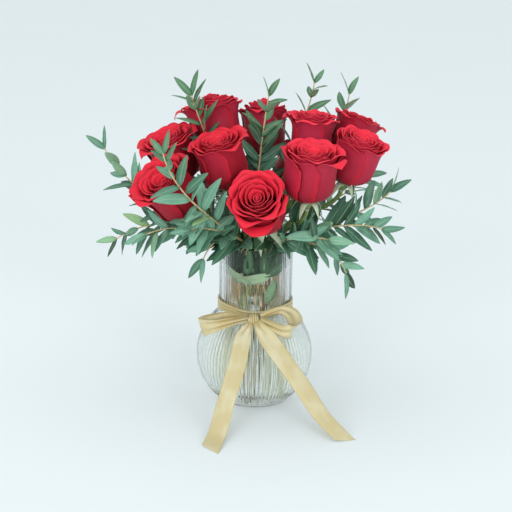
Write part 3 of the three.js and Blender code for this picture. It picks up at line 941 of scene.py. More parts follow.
@dataclass(frozen=True)
class Slot:
    """Where a stem stands in the bunch: its radius and direction at the waist. All stems lean alike."""

    waist: float
    degrees: float
    lean: float = 0.18
    waist_z: float = 140.0
    top_z: float = 178.0

    def point(self, z: Any) -> Array:
        """The straight stem's points at heights z: out by the waist and aside by the lean.

        Args:
            z: Heights.

        Returns:
            One point for each height.
        """
        z = np.asarray(z, float)
        angle = math.radians(self.degrees)
        outward = np.array([math.cos(angle), math.sin(angle), 0])
        aside = np.array([-math.sin(angle), math.cos(angle), 0])
        shift = self.lean * (z - self.waist_z)
        return outward * self.waist + aside * shift[..., None] + UP * z[..., None]

    def direction(self) -> Array:
        """The straight stem's unit direction."""
        return unit(self.point(1.0) - self.point(0.0))

    def stem(self, curve: Bezier, foot_z: float, radius: float, taper: float, sides: int,
             tone: float) -> Skin:
        """A tube up the straight stem and on along its curve, a little slimmer in the vase.

        Args:
            curve: The stem above the rim.
            foot_z: The lower end's height.
            radius: The radius at the rim.
            taper: The share of the radius that it loses towards the tip.
            sides: Points in a ring.
            tone: The tube's tone.

        Returns:
            The tube.
        """
        t = np.linspace(0, 1, 26)
        heights = np.linspace(foot_z, self.top_z, 14)[:-1]
        centres = np.vstack([self.point(heights), curve.points(t)])
        radii = radius * np.concatenate([lerp(0.78, 1.0, ease(heights, 120.0, 178.0)), 1 - taper * t])
        radii[0] *= 0.8
        return tubes(centres[None], radii[None], sides, np.full(1, tone))


# ---- Leaves ------------------------------------------------------------------------------------

# How far the tip of a grown leaf stays off the solids, in millimetres.
TIP_GAP = 1.5


@dataclass
class LeafSet:
    """Leaves of one kind, one entry in each array for a leaf."""

    root: Array
    direction: Array
    normal: Array
    length: Array
    width: Array
    bend: Array
    tone: Array

    def kept(self, choice: Array) -> "LeafSet":
        """The leaves that a mask or list of numbers chooses."""
        return LeafSet(*(values[choice] for values in vars(self).values()))

    def joined(self, other: "LeafSet") -> "LeafSet":
        """These leaves and those of another set."""
        return LeafSet(*map(np.concatenate, zip(vars(self).values(), vars(other).values())))

    def frame(self) -> tuple[Array, Array]:
        """Unit directions across each leaf and out of its face."""
        across = unit(np.cross(self.direction, self.normal))
        return across, unit(np.cross(across, self.direction))

    def toward_light(self, share: float) -> "LeafSet":
        """The same leaves rolled about their ribs by a share of the way to face out, forward and up.

        Args:
            share: The share of the way.

        Returns:
            The leaves.
        """
        outward = unit(self.root * np.array([1, 1, 0]) + 1e-9)
        light = 0.4 * outward + np.array([0, -0.55, 0.55])
        square = light - self.direction * np.sum(self.direction * light, axis=1, keepdims=True)
        return replace(self, normal=unit(lerp(self.normal, square, share)))

    def grown(self, thicket: "Thicket", share: float) -> "LeafSet":
        """The same leaves, each longer by a share where there is room for its tip.

        Args:
            thicket: What the tips stay clear of.
            share: The share by which each grows.

        Returns:
            The leaves.
        """
        tips = self.middle(np.array([1.0 + share]))[:, 0]
        free = np.array([not thicket.blocked(tip, TIP_GAP) for tip in tips])
        return replace(self, length=self.length * (1 + share * free))

    def filled(self, ratio: float, least: float) -> "LeafSet":
        """The same leaves, each as broad as a share of its length and no narrower than the least."""
        return replace(self, width=np.maximum(ratio * self.length, least))

    def middle(self, t: Array) -> Array:
        """Points of the rib at t: out along the leaf and back from its face by bend times t squared.

        Args:
            t: Shares of the length, the same for all leaves.

        Returns:
            Points of shape (leaves, shares, 3).
        """
        _, face = self.frame()
        reach = self.length[:, None, None] * t[:, None]
        sag = (self.bend * self.length)[:, None, None] * t[:, None] ** 2
        return self.root[:, None] + self.direction[:, None] * reach - face[:, None] * sag


@dataclass(frozen=True)
class LeafShape:
    """The outline and relief that leaves of one kind share."""

    rows: int
    columns: int
    thickness: float
    fold: float
    wave: float
    sway: float
    curl: float
    teeth: int = 0
    tooth: float = 0.0

    def outline(self, t: Array) -> Array:
        """Half-width as a share of its largest: a sine of t to the power 0.75, fullest low down."""
        return np.clip(np.sin(math.pi * t ** FULL_LOW), 0.02, None) ** 0.7

    def make(self, leaves: LeafSet) -> Skin:
        """Blades about their ribs.

        A point lies across from the rib by its share of the half-width, raised by the fold times its
        distance from the rib, with the edge waved by a sine along the leaf. The rib sways by a half
        wave and the blade twists by curl degrees to its tip. Teeth lengthen the half-width by a
        sawtooth along the edge.

        Args:
            leaves: The leaves.

        Returns:
            Their blades.
        """
        t = lerp(0.015, 0.985, np.linspace(0, 1, self.rows))
        s = np.linspace(-1, 1, self.columns)
        across, face = leaves.frame()
        twist = (draw(leaves.tone * 977) - 0.5)[:, None] * 2 * self.curl * t
        axis = leaves.direction[:, None]
        wide = turned(np.broadcast_to(across[:, None], (*twist.shape, 3)), axis, twist)
        rise = turned(np.broadcast_to(face[:, None], (*twist.shape, 3)), axis, twist)
        swing = self.sway * (draw(leaves.tone * 613) - 0.5)[:, None] * leaves.length[:, None]
        swing = swing * np.sin(math.pi * t) * 2
        middle = leaves.middle(t) + wide * swing[..., None]
        half = (leaves.width / 2)[:, None] * self.outline(t)
        if self.teeth:
            saw = 1 - np.mod(t * self.teeth, 1.0)
            half = half + self.tooth * saw * ease(t, 0.05, 0.2)
        phase = (leaves.tone * 41)[:, None, None]
        ripple = self.wave * np.sin(t[:, None] * 15 + s * 1.6 + phase) * np.abs(s) ** 1.5
        height = half[..., None] * (self.fold * np.abs(s) + ripple)
        points = (middle[:, :, None] + wide[:, :, None] * (half[..., None] * s)[..., None]
                  + rise[:, :, None] * height[..., None])
        rim = self.thickness * (1 - 0.55 * np.abs(s) ** 4)
        rib = 0.5 * self.thickness * (np.abs(s) < 1e-6) * (1 - t[:, None])
        return sheets(points, rim + rib, leaves.tone)


# How near a solid's point lies to a leaf that it has, in millimetres.
SOLID_GAP = 0.1
# The power of the share along a leaf that makes its outline fullest low down.
FULL_LOW = 0.75
# The turns in degrees and the scales that a solid's leaf may have taken.
LEAF_TRIES = ((0, 1), (30, 1), (-30, 1), (60, 1), (-60, 1), (0, 0.7), (90, 0.8), (-90, 0.8))


def solid_leaves(leaves: LeafSet, along: Array, aside: Array, opening: Array, row: float,
                 solid: Array) -> LeafSet:
    """Gives each leaf the turn and length that its solid took, and drops those that were left out.

    The solid's edge point at a row is worked out for every try, and the try is right where the solid
    has a point within the solid gap.

    Args:
        leaves: The leaves before their turn; their directions and normals are replaced.
        along: The stem's directions at the roots.
        aside: The directions away from the stem.
        opening: The angles between leaf and stem, in degrees.
        row: The share of the length at which the solid's edge point is.
        solid: The solid's points.

    Returns:
        The leaves that the solid has.
    """
    matched, fits = [], []
    for turn, scale in LEAF_TRIES:
        aimed = aim(leaves, along, aside, opening, np.full(len(along), float(turn)), scale)
        across, _ = aimed.frame()
        half = aimed.width / 2 * np.sin(math.pi * row ** FULL_LOW) ** 0.85
        edge = aimed.middle(np.array([row]))[:, 0] + across * half[:, None]
        gap = np.linalg.norm(edge[:, None] - solid[None], axis=2).min(axis=1)
        matched.append(aimed)
        fits.append(gap < SOLID_GAP)
    whole = matched[0]
    for aimed in matched[1:]:
        whole = whole.joined(aimed)
    picks = np.argmax(fits, axis=0) * len(along) + np.arange(len(along))
    return whole.kept(picks[np.any(fits, axis=0)])


def aim(leaves: LeafSet, along: Array, aside: Array, opening: Array, turn: Array, scale: float) -> LeafSet:
    """Leaves turned about their stem and opened away from it, the face looking up the stem.

    Args:
        leaves: Leaves with their roots and sizes.
        along: The stem's directions at the roots.
        aside: The directions away from the stem.
        opening: The angles between leaf and stem, in degrees.
        turn: The turns about the stem, in degrees.
        scale: A factor on the length.

    Returns:
        The leaves.
    """
    outward = turned(aside, along, turn)
    angle = np.radians(opening)[:, None]
    direction = along * np.cos(angle) + outward * np.sin(angle)
    normal = along * np.sin(angle) - outward * np.cos(angle)
    return replace(leaves, direction=direction, normal=normal, length=leaves.length * scale)


# The shares of a leaf's length at which its room is tested.
TESTED = np.array([0.3, 0.55, 0.8, 1.0])


@dataclass
class Thicket:
    """What new leaves have to stay clear of: the solids of blooms, vase and ribbon, and other leaves."""

    tree: BVHTree
    taken: Array = field(default_factory=lambda: np.full((1, 3), 1e6))

    @classmethod
    def of(cls, frame: dict[str, Any], names: Sequence[str]) -> "Thicket":
        """Gathers the faces of solid nodes.

        Args:
            names: The nodes' names.

        Returns:
            The thicket.
        """
        points: list[Vector] = []
        faces: list[tuple[int, ...]] = []
        for name in names:
            mesh = frame["nodes"][name].data
            start = len(points)
            points += [vertex.co / MM for vertex in mesh.vertices]
            faces += [tuple(start + corner for corner in face.vertices) for face in mesh.polygons]
        return cls(BVHTree.FromPolygons(points, faces))

    def blocked(self, point: Array, gap: float) -> bool:
        """Whether a point lies inside a solid or nearer to one than the gap."""
        near, normal, _, distance = self.tree.find_nearest(Vector(point))
        return distance < gap or (Vector(point) - near).dot(normal) < 0

    def clear(self, leaves: LeafSet, gap: float, apart: float) -> LeafSet:
        """Keeps the leaves a gap off the solids and apart from others, in order, and remembers them.

        Args:
            leaves: The leaves to try.
            gap: The least distance from a solid, in millimetres.
            apart: The least distance from other leaves, in millimetres.

        Returns:
            The leaves kept.
        """
        spots = leaves.middle(TESTED)
        kept = []
        for number, path in enumerate(spots):
            crowded = np.linalg.norm(self.taken[:, None] - path[None], axis=2).min() < apart
            if crowded or any(self.blocked(point, gap) for point in path):
                continue
            kept.append(number)
            self.taken = np.vstack([self.taken, path])
        return leaves.kept(np.array(kept, int))

    def remember(self, leaves: LeafSet) -> None:
        """Notes leaves that are there already."""
        self.taken = np.vstack([self.taken, leaves.middle(TESTED).reshape(-1, 3)])


# ---- Roses -------------------------------------------------------------------------------------

@dataclass(frozen=True)
class Whorl:
    """One ring of petals.

    Radius is in girths and lip, the top of a petal, in bloom heights; width, half a petal's breadth,
    is in millimetres; turn, flare, curl and lean are in degrees. A tip sharpens the petals' points. A
    guard is a loose outer petal that leans the way it is given, whatever the rose's own opening.
    """

    petals: int
    radius: float
    lip: float
    turn: float
    width: float
    flare: float
    curl: float
    curl_from: float
    lean: float
    tip: float = 0.0
    guard: tuple[float, float, float] | None = None


WHORLS = (
    Whorl(5, 1.00, 0.97, 36, 22.0, 17, 100, 0.84, 0),
    Whorl(5, 0.91, 1.00, 2, 21.0, 11, 80, 0.86, 1),
    Whorl(5, 0.80, 1.00, 38, 19.0, 9, 55, 0.88, 3),
    Whorl(5, 0.67, 1.00, 74, 16.5, 8, 40, 0.89, 5),
    Whorl(5, 0.53, 0.985, 108, 15.0, 7, 30, 0.90, 6),
    Whorl(4, 0.39, 0.96, 20, 13.5, 6, 22, 0.91, 7),
    Whorl(3, 0.26, 0.93, 70, 11.5, 5, 15, 0.92, 7),
    Whorl(3, 0.13, 0.90, 130, 7.5, 2, 8, 0.94, 5),
)


@dataclass(frozen=True)
class Rose:
    """One rose: the middle of its face, the way it looks, its size and its slot in the bunch.

    Its outer petals loll open towards one side, opens multiplies how far they flare and roll, and the
    inner petals stand above the outer by the crown, in millimetres. The petals sit raised from the hip,
    guards are its loose petals, calyx multiplies the length of its sepals, and pale is how far its
    petals' outsides are from deep red to pink.
    """

    face: tuple[float, float, float]
    axis: tuple[float, float, float]
    size: float
    slot: Slot
    lolls: tuple[float, float, float] = (0, 0, 0)
    opens: float = 1.0
    crown: float = 0.0
    raised: float = 0.0
    guards: tuple[Whorl, ...] = ()
    calyx: float = 1.0
    pale: float = 0.2


# The waists of the two rings of rose stems, and the place, from 0, of the rose with the brown stem.
OUTER_ROSE = 26.0
INNER_ROSE = 12.0
BROWN_STEM = 7
ROSES = (
    Rose((-1, -84, 244), (-0.17, -0.70, 0.69), 1.02, Slot(OUTER_ROSE, -104),
         (0.25, -0.6, -0.75), 0.8, 0.0, 4.0,
         (Whorl(1, 1.03, 0.79, 0, 25.0, 76, 10, 0.85, 0, 0.12, (-0.04, -0.4, -0.88)),), 1.9, 0.4),
    Rose((-42, -40, 293), (-0.25, -0.19, 0.95), 1.00, Slot(INNER_ROSE, -165), (1, -0.2, 0), 0.75, 1.0),
    Rose((-98, -62, 258), (-0.51, -0.45, 0.73), 1.06, Slot(OUTER_ROSE, -149),
         (-0.9, 0.1, -0.4), 1.1, 0.0, 1.0,
         (Whorl(1, 1.04, 0.92, 0, 17.0, 52, 20, 0.85, 0, 0.30, (-1, -0.1, -0.1)),), 1.0, 0.1),
    Rose((-95, -2, 287), (-0.34, -0.20, 0.91), 1.00, Slot(OUTER_ROSE, 166), (-1, -0.3, 0), 1.1, 1.5),
    Rose((-50, 32, 315), (-0.20, 0.15, 0.97), 1.08, Slot(INNER_ROSE, 120),
         (-0.9, -0.3, 0), 1.3, 8.0, pale=0.85),
    Rose((6, 62, 304), (0.00, 0.25, 0.97), 0.95, Slot(INNER_ROSE, 50),
         (-0.7, -0.7, 0), 1.0, 9.0, pale=0.9),
    Rose((56, 8, 309), (0.05, 0.00, 1.00), 0.88, Slot(INNER_ROSE, -25),
         (-0.8, 0.5, 0), 1.1, 4.0, pale=0.9),
    Rose((55, -56, 288), (0.07, -0.18, 0.98), 1.05, Slot(OUTER_ROSE, -59), (0.8, -0.6, 0), 0.9, 1.0, 0.0,
         (Whorl(1, 1.14, 1.04, 0, 23.0, 16, 60, 0.88, 0, 0.03, (-1, -0.3, 0)),), 1.0, 0.95),
    Rose((106, -26, 294), (0.31, -0.20, 0.93), 0.98, Slot(OUTER_ROSE, -14),
         (0, 0, 0), 0.5, 2.0, pale=0.9),
    Rose((106, 37, 303), (0.35, 0.15, 0.92), 0.90, Slot(OUTER_ROSE, 31),
         (0.8, 0.5, 0), 1.2, 3.0, pale=0.5),
    Rose((-48, 90, 252), (-0.35, 0.60, 0.72), 1.00, Slot(OUTER_ROSE, 121),
         (-0.3, 0.6, -0.7), 1.0, 1.0),
    Rose((50, 94, 250), (0.35, 0.60, 0.72), 1.00, Slot(OUTER_ROSE, 76), (0.6, 0.3, -0.7), 0.9, 2.0),
)


@dataclass
class Roses:
    """All the roses: blooms of layered petals, and stems with hip, sepals and leaf.

    The heart setting is how much paler the innermost petals are painted, a painted light that lifts the
    shade deep in the bloom, and loll_flare and loll_curl are the degrees by which a petal on the lolling
    side flares and curls more.
    """

    height: float = 52.0
    girth: float = 23.0
    tuck: float = 0.045
    petal_thickness: float = 0.55
    heart_light: float = 0.8
    loll_flare: float = 26.0
    loll_curl: float = 60.0
    belly: float = 17.0
    stem_radius: float = 2.5
    foot_z: float = 8.0
    pull: float = 0.4
    hip_radius: float = 5.2
    hip_length: float = 12.0
    sepal_reach: float = 17.0
    sepal_drop: float = 10.0
    leaf_length: float = 40.0
    leaf_width: float = 21.0
    leaf_open: float = 62.0
    leaf_bend: float = 0.12
    leaf_at: float = 0.6
    leaf_turn: float = 137.0
    stem_rows: int = 4
    petal_rows: int = 26
    petal_columns: int = 17

    def axis(self, rose: Rose) -> Array:
        """The unit direction that the bloom looks."""
        return unit(np.array(rose.axis))

    def foot(self, rose: Rose) -> Array:
        """The bloom's foot, a bloom height behind its face."""
        return np.array(rose.face) - self.axis(rose) * self.height * rose.size

    def turn(self, rose: Rose) -> Array:
        """The rotation from the bloom's own frame, whose face looks up."""
        return np.array(Vector((0, 0, 1)).rotation_difference(Vector(self.axis(rose))).to_matrix())

    def to_world(self, rose: Rose, points: Array) -> Array:
        """Points of the bloom's own frame, its foot at the origin and its face up, put in their place."""
        return points @ self.turn(rose).T + self.foot(rose)

    def curve(self, rose: Rose) -> Bezier:
        """The stem's curve from the rim to the hip.

        Args:
            rose: The rose.

        Returns:
            The curve.
        """
        start = rose.slot.point(rose.slot.top_z)
        end = self.foot(rose) - self.axis(rose) * (self.hip_length - 1)
        pull = float(np.linalg.norm(end - start)) * self.pull
        lead = rose.slot.direction() * pull
        return Bezier(np.array([start, start + lead, end - self.axis(rose) * pull, end]))

    def petals(self, whorl: Whorl, rose: Rose, seed: int) -> Skin:
        """A ring of petals, each a sheet over its share across and its share along.

        Along the petal the path first follows a quarter ellipse from the foot out to the whorl's
        radius. From there it climbs, leaning in and then flaring out, and past curl_from its angle
        falls away, which rolls the lip. The sum of the cosines of that angle gives the radius and the
        sum of its sines the height. The breadth is an arc round the axis, one edge a little inside
        the next petal and the other a little outside. Petals on the side that lolls flare more and
        roll sooner, by the cube of the cosine between them and that side.

        Args:
            whorl: The ring.
            rose: The rose that has it.
            seed: The number that its draws start from.

        Returns:
            The petals.
        """
        rows, columns = self.petal_rows, self.petal_columns
        numbers = np.arange(whorl.petals)
        chance = [draw(seed * 31 + numbers * 7 + k)[:, None, None] for k in range(8)]
        girth, height = self.girth * rose.size, self.height * rose.size
        side = np.linspace(-1, 1, columns)
        s = np.sign(side) * (1 - (1 - np.abs(side)) ** 1.25)
        bowl_rows = rows // 4
        bowl = np.linspace(0, math.pi / 2, bowl_rows + 1)[:-1]
        w = 1 - (1 - np.linspace(0, 1, rows - bowl_rows)) ** 1.7
        wide = whorl.radius * girth
        start = 0.12 * wide
        belly = self.belly * rose.size * (0.5 + 0.5 * whorl.radius)
        centre = (np.radians(whorl.turn + 60 * (seed // 10))
                  + (numbers[:, None, None] + 0.3 * (chance[2] - 0.5)) * TURN / whorl.petals)
        if whorl.guard:
            local = self.turn(rose).T @ np.array(whorl.guard, float)
            centre = np.full((1, 1, 1), math.atan2(local[1], local[0]))
        spoke = np.concatenate([np.cos(centre), np.sin(centre), 0 * centre], axis=2)[:, 0]
        toward = (self.to_world(rose, spoke) - self.foot(rose)) @ np.array(rose.lolls, float)
        loll = np.clip(toward, 0, 1)[:, None, None] ** 3 * ease(whorl.radius, 0.75, 1.0)
        flare = whorl.flare * rose.opens * (0.5 + chance[1]) + self.loll_flare * loll
        curl = whorl.curl * (0.4 + 0.6 * rose.opens) * (0.7 + 0.6 * chance[7]) + self.loll_curl * loll
        if whorl.guard:
            loll, flare, curl = 0 * loll, whorl.flare + 0 * loll, whorl.curl + 0 * loll
        begin = whorl.curl_from - 0.12 * loll - 0.05 * np.abs(s) ** 2
        point = 0.01 + 0.03 * chance[6] + whorl.tip
        blunt = 1 - 0.25 * np.abs(s) ** 6 + 0.01 * np.exp(-(s / 0.16) ** 2)
        way = w[:, None] * (blunt - (point + 0.2 * loll) * np.abs(s))
        past = np.clip((way - begin) / (1 - begin), 0, 1)
        inward = whorl.lean * np.sin(math.pi * way)
        angle = np.radians(90 + inward - flare * ease(way, 0.35, 0.85)
                           - curl * past ** 1.2 * (0.9 + 0.25 * s ** 2))
        step = np.diff(way, axis=1, prepend=0.0)
        run = np.cumsum(np.cos(angle) * step, axis=1)
        climb = np.cumsum(np.sin(angle) * step, axis=1)
        crown = rose.crown * (ease(whorl.radius, 0.98, 0.6) + ease(whorl.radius, 0.6, 0.1))
        lip = height * (whorl.lip + 0.025 * (chance[0] - 0.5)) + crown
        reach = (lip - belly) / climb.max(axis=1, keepdims=True)[:, :, columns // 2, None]
        shape = (whorl.petals, bowl_rows, columns)
        bowl_r = start + (wide - start) * np.sin(bowl)
        bowl_z = belly * (1 - np.cos(bowl)) + 0.6
        r = np.concatenate([np.broadcast_to(bowl_r[:, None], shape), wide + run * reach], axis=1)
        z = np.concatenate([np.broadcast_to(bowl_z[:, None], shape), belly + climb * reach], axis=1)
        up = np.concatenate([np.linspace(0, 0.33, bowl_rows), lerp(0.35, 1.0, w)])
        breadth = whorl.width * rose.size * (0.42 + 0.58 * ease(up, 0.0, 0.45))
        breadth = breadth * (1 - 0.12 * ease(up, 0.85, 1.0))
        spread = breadth[None, :, None] / np.maximum(r, 0.55 * wide)
        phi = centre + spread * s
        near_lip = ease(up, 0.55, 1.0)[None, :, None]
        frill = 0.9 * np.sin(4.2 * s + TURN * chance[3]) + 0.25 * np.sin(9.0 * s + TURN * chance[4])
        r = r * (1 + self.tuck * s * (0.7 + 0.6 * chance[5]))
        r = r + frill * near_lip * (0.12 + 0.88 * whorl.radius)
        z = z + (0.1 + 1.2 * whorl.radius) * np.sin(5.1 * s + TURN * chance[6]) * near_lip ** 2
        points = polar(r, phi, z)
        at_lip = ease(up, 0.94, 1.0)[:, None]
        thin = self.petal_thickness * (1 - 0.5 * np.abs(s) ** 6) * (1 - 0.35 * at_lip)
        grain_tone = 0.35 * chance[0][:, 0, 0] + 0.65 * rose.pale
        # Inner whorls get more tone and so paler petals: a painted light in the shaded heart of the bloom.
        grain_tone = np.minimum(1.0, grain_tone + self.heart_light * max(0.0, 0.85 - whorl.radius))
        spot = self.to_world(rose, points) + np.array([0, 0, rose.raised])
        return sheets(spot, thin, grain_tone)

    def bloom(self, rose: Rose, index: int) -> list[Skin]:
        """All whorls of one bloom, from the outside in, and its loose petals."""
        return [self.petals(whorl, rose, index * 10 + ring)
                for ring, whorl in enumerate(WHORLS + rose.guards)]

    def hip(self, rose: Rose) -> Skin:
        """The green hip under the bloom: swelling from the stem, widest below the petals.

        Args:
            rose: The rose.

        Returns:
            The hip.
        """
        share = np.linspace(0, 1, 12)
        z = lerp(-self.hip_length, -0.2, share)
        radius = lerp(self.stem_radius * 0.92, self.hip_radius, ease(share, 0, 0.7))
        radius = radius + 1.1 * ease(share, 0.8, 1.0)
        centres = self.to_world(rose, np.stack([0 * z, 0 * z, z], -1))
        return tubes(centres[None], radius[None], 16, np.zeros(1))

    def sepals(self, rose: Rose, index: int) -> Skin:
        """Five pointed sepals that fold down from under the petals.

        Each follows a cubic curve out from the hip and down; its half-width falls to a point as one
        less the share along it to the power 1.3, and it is hollow above.

        Args:
            rose: The rose.
            index: Its number, from 0.

        Returns:
            The sepals.
        """
        count, rows, columns = 5, 12, 7
        number = np.arange(count)
        angle = (number + 0.3 + 0.25 * (draw(index * 5 + number) - 0.5)) / count * TURN
        t = np.linspace(0, 1, rows)
        drop = rose.calyx * self.sepal_drop * lerp(0.9, 2.0, draw(index * 9 + number))
        corners = np.array([[4.6, 0, -1.0], [10, 0, -0.2], [15, 0, -1.5], [self.sepal_reach, 0, 0]])
        radial = Bezier(corners).points(t)
        sag = ease(t, 0.25, 1.15)
        r = lerp(radial[0, 0], radial[:, 0], rose.calyx ** 0.5)
        z = radial[:, 2] * (1 - sag) - drop[:, None] * sag
        s = np.linspace(-1, 1, columns)
        half = rose.calyx ** 0.5 * 3.6 * (1 - t ** 1.3) * (0.85 + 0.3 * np.sin(math.pi * t)) + 0.25
        x = r[None, :, None] + 0 * s
        y = np.broadcast_to(half[:, None] * s, (count, rows, columns))
        dish = 0.35 * half[:, None] * s ** 2
        cos, sin = np.cos(angle)[:, None, None], np.sin(angle)[:, None, None]
        points = np.stack([x * cos - y * sin, x * sin + y * cos, z[:, :, None] - dish], -1)
        return sheets(self.to_world(rose, points), 0.6, draw(index * 3 + number))

    def leaf(self, rose: Rose, index: int, solid: Array) -> LeafSet:
        """The rose leaf that the solid stem bears, or none.

        Args:
            rose: The rose.
            index: Its number, from 0.
            solid: The solid stem's points.

        Returns:
            A set of one leaf or none.
        """
        curve = self.curve(rose)
        row = min(self.stem_rows - 1, int(self.leaf_at * self.stem_rows))
        ends = curve.points(np.array([row, row + 1]) / self.stem_rows)
        root = lerp(ends[0], ends[1], self.leaf_at * self.stem_rows - row)[None]
        along = curve.tangents(np.array([self.leaf_at]))
        leaf = LeafSet(root, along, along, np.array([self.leaf_length]), np.array([self.leaf_width]),
                       np.array([self.leaf_bend]), draw(np.array([index * 3 + 1])) * 0.8)
        aside = sideways(along, np.array([self.leaf_turn * index]))
        return solid_leaves(leaf, along, aside, np.array([self.leaf_open]), 0.5, solid)

    def build(self, frame: dict[str, Any], thicket: Thicket) -> None:
        """Makes every rose.

        Args:
            thicket: Notes the leaves, so that the sprays' leaves stay clear of them.
        """
        petal = PetalFinish().make()
        # The first colour is the stem's foot inside the vase, painted pale as a painted light.
        green = StemFinish("rose_green", "c3cda6", "848f60", "7f9a58", "dbe2c6").make()
        sepal = LeafFinish("rose_sepal", "93ad78", "7c9a66", "c3cfb2", "a9bd84", "dfe6cd", "6f8c5a",
                           veins=7.0, roughness=0.6).make()
        blade = LeafFinish("rose_leaf", "4a7a52", "2f5a3c", "8fb092", "5f8a4c", "a8c79c", "22452c",
                           veins=8.0, roughness=0.42).make()
        shape = LeafShape(29, 9, 0.45, 0.16, 0.05, 0.05, 12.0, teeth=16, tooth=0.9)
        for index, rose in enumerate(ROSES):
            name = f"rose_{index + 1:02d}"
            make_piece(f"{name}_petals", self.bloom(rose, index), petal, "rose_petal", f"{name}_bloom")
            brown = 1.0 if index == BROWN_STEM else 0.25 * float(draw(index))
            stem = rose.slot.stem(self.curve(rose), self.foot_z, self.stem_radius, 0.1, 12, brown)
            make_piece(f"{name}_stalk", [stem, self.hip(rose)], green, "rose_green", f"{name}_stem")
            make_piece(f"{name}_sepals", [self.sepals(rose, index)], sepal, "rose_green")
            leaf = self.leaf(rose, index, node_points(frame, f"{name}_stem"))
            if len(leaf.length):
                make_piece(f"{name}_leaf", [shape.make(leaf)], blade, "rose_green")
                thicket.remember(leaf)


# ---- Sprays ------------------------------------------------------------------------------------

@dataclass(frozen=True)
class Spray:
    """One leafy stem: it leaves the rim at its slot, rises by lift, bends by way of via and ends at tip."""

    tip: tuple[float, float, float]
    via: tuple[float, float, float]
    lift: float
    slot: Slot

    def curve(self) -> Bezier:
        """The stem's curve above the rim."""
        start = self.slot.point(self.slot.top_z)
        return Bezier(np.array([start, start + self.slot.direction() * self.lift, self.via, self.tip]))


# Spray number, share of its stem, tip, width and tone of each extra large leaf.
LARGE_LEAVES = (
    (3, 0.55, (-67, -86, 196), 13.0, 0.80),
    (3, 0.63, (-72, -92, 214), 8.5, 0.30),
    (3, 0.57, (-37, -86, 265), 11.0, 0.65),
    (12, 0.69, (-22, -58, 221), 12.5, 0.60),
    (9, 0.23, (57, -36, 218), 13.0, 0.75),
    (11, 0.85, (29, -90, 209), 12.5, 0.80),
    (8, 0.44, (88, -24, 184), 10.0, 0.70),
)
# Spray number, direction, height, tilt, length and tone of each leaf that lies across the neck.
NECK_LEAVES = (
    (12, -158.0, 155.0, -111.0, 36.0, 0.80),
    (12, -106.0, 149.0, -8.0, 28.0, 0.22),
    (11, -64.0, 148.0, 101.0, 34.0, 0.78),
    (11, -72.0, 118.0, -24.0, 27.0, 0.45),
    (10, -38.0, 158.0, 118.0, 24.0, 0.14),
)
# The waists of the two rings of spray stems.
RIM_SPRAY = 31.0
MIDDLE_SPRAY = 19.5
SPRAYS = (
    Spray((-158, -12, 276), (-118, -28, 208), 22, Slot(RIM_SPRAY, -169)),
    Spray((-146, -24, 182), (-98, -14, 214), 10, Slot(RIM_SPRAY, 168)),
    Spray((-91, -100, 292), (-76, -118, 240), 14, Slot(RIM_SPRAY, -127)),
    Spray((-69, -5, 331), (-56, -5, 285), 60, Slot(MIDDLE_SPRAY, 160)),
    Spray((10, 8, 330), (1, 4, 275), 55, Slot(MIDDLE_SPRAY, -130)),
    Spray((58, 46, 338), (52, 44, 290), 50, Slot(MIDDLE_SPRAY, 20)),
    Spray((97, 72, 322), (92, 68, 262), 26, Slot(RIM_SPRAY, 44)),
    Spray((137, -20, 238), (108, -20, 204), 12, Slot(RIM_SPRAY, -30)),
    Spray((127, -50, 206), (92, -42, 216), 10, Slot(RIM_SPRAY, -52)),
    Spray((92, -56, 160), (78, -58, 204), 8, Slot(RIM_SPRAY, -72)),
    Spray((70, -94, 207), (54, -68, 206), 6, Slot(RIM_SPRAY, -84)),
    Spray((-64, -86, 212), (-40, -66, 213), 6, Slot(RIM_SPRAY, -118)),
    Spray((-112, -52, 196), (-76, -34, 210), 8, Slot(RIM_SPRAY, -145)),
    Spray((-112, 62, 250), (-78, 44, 210), 10, Slot(RIM_SPRAY, 148)),
    Spray((122, 66, 232), (86, 44, 208), 10, Slot(RIM_SPRAY, 10)),
    Spray((-62, 128, 200), (-42, 84, 206), 8, Slot(RIM_SPRAY, 104)),
    Spray((68, 124, 196), (54, 80, 200), 8, Slot(RIM_SPRAY, 52)),
    Spray((-54, -56, 172), (-38, -40, 206), 5, Slot(RIM_SPRAY, -136)),
)


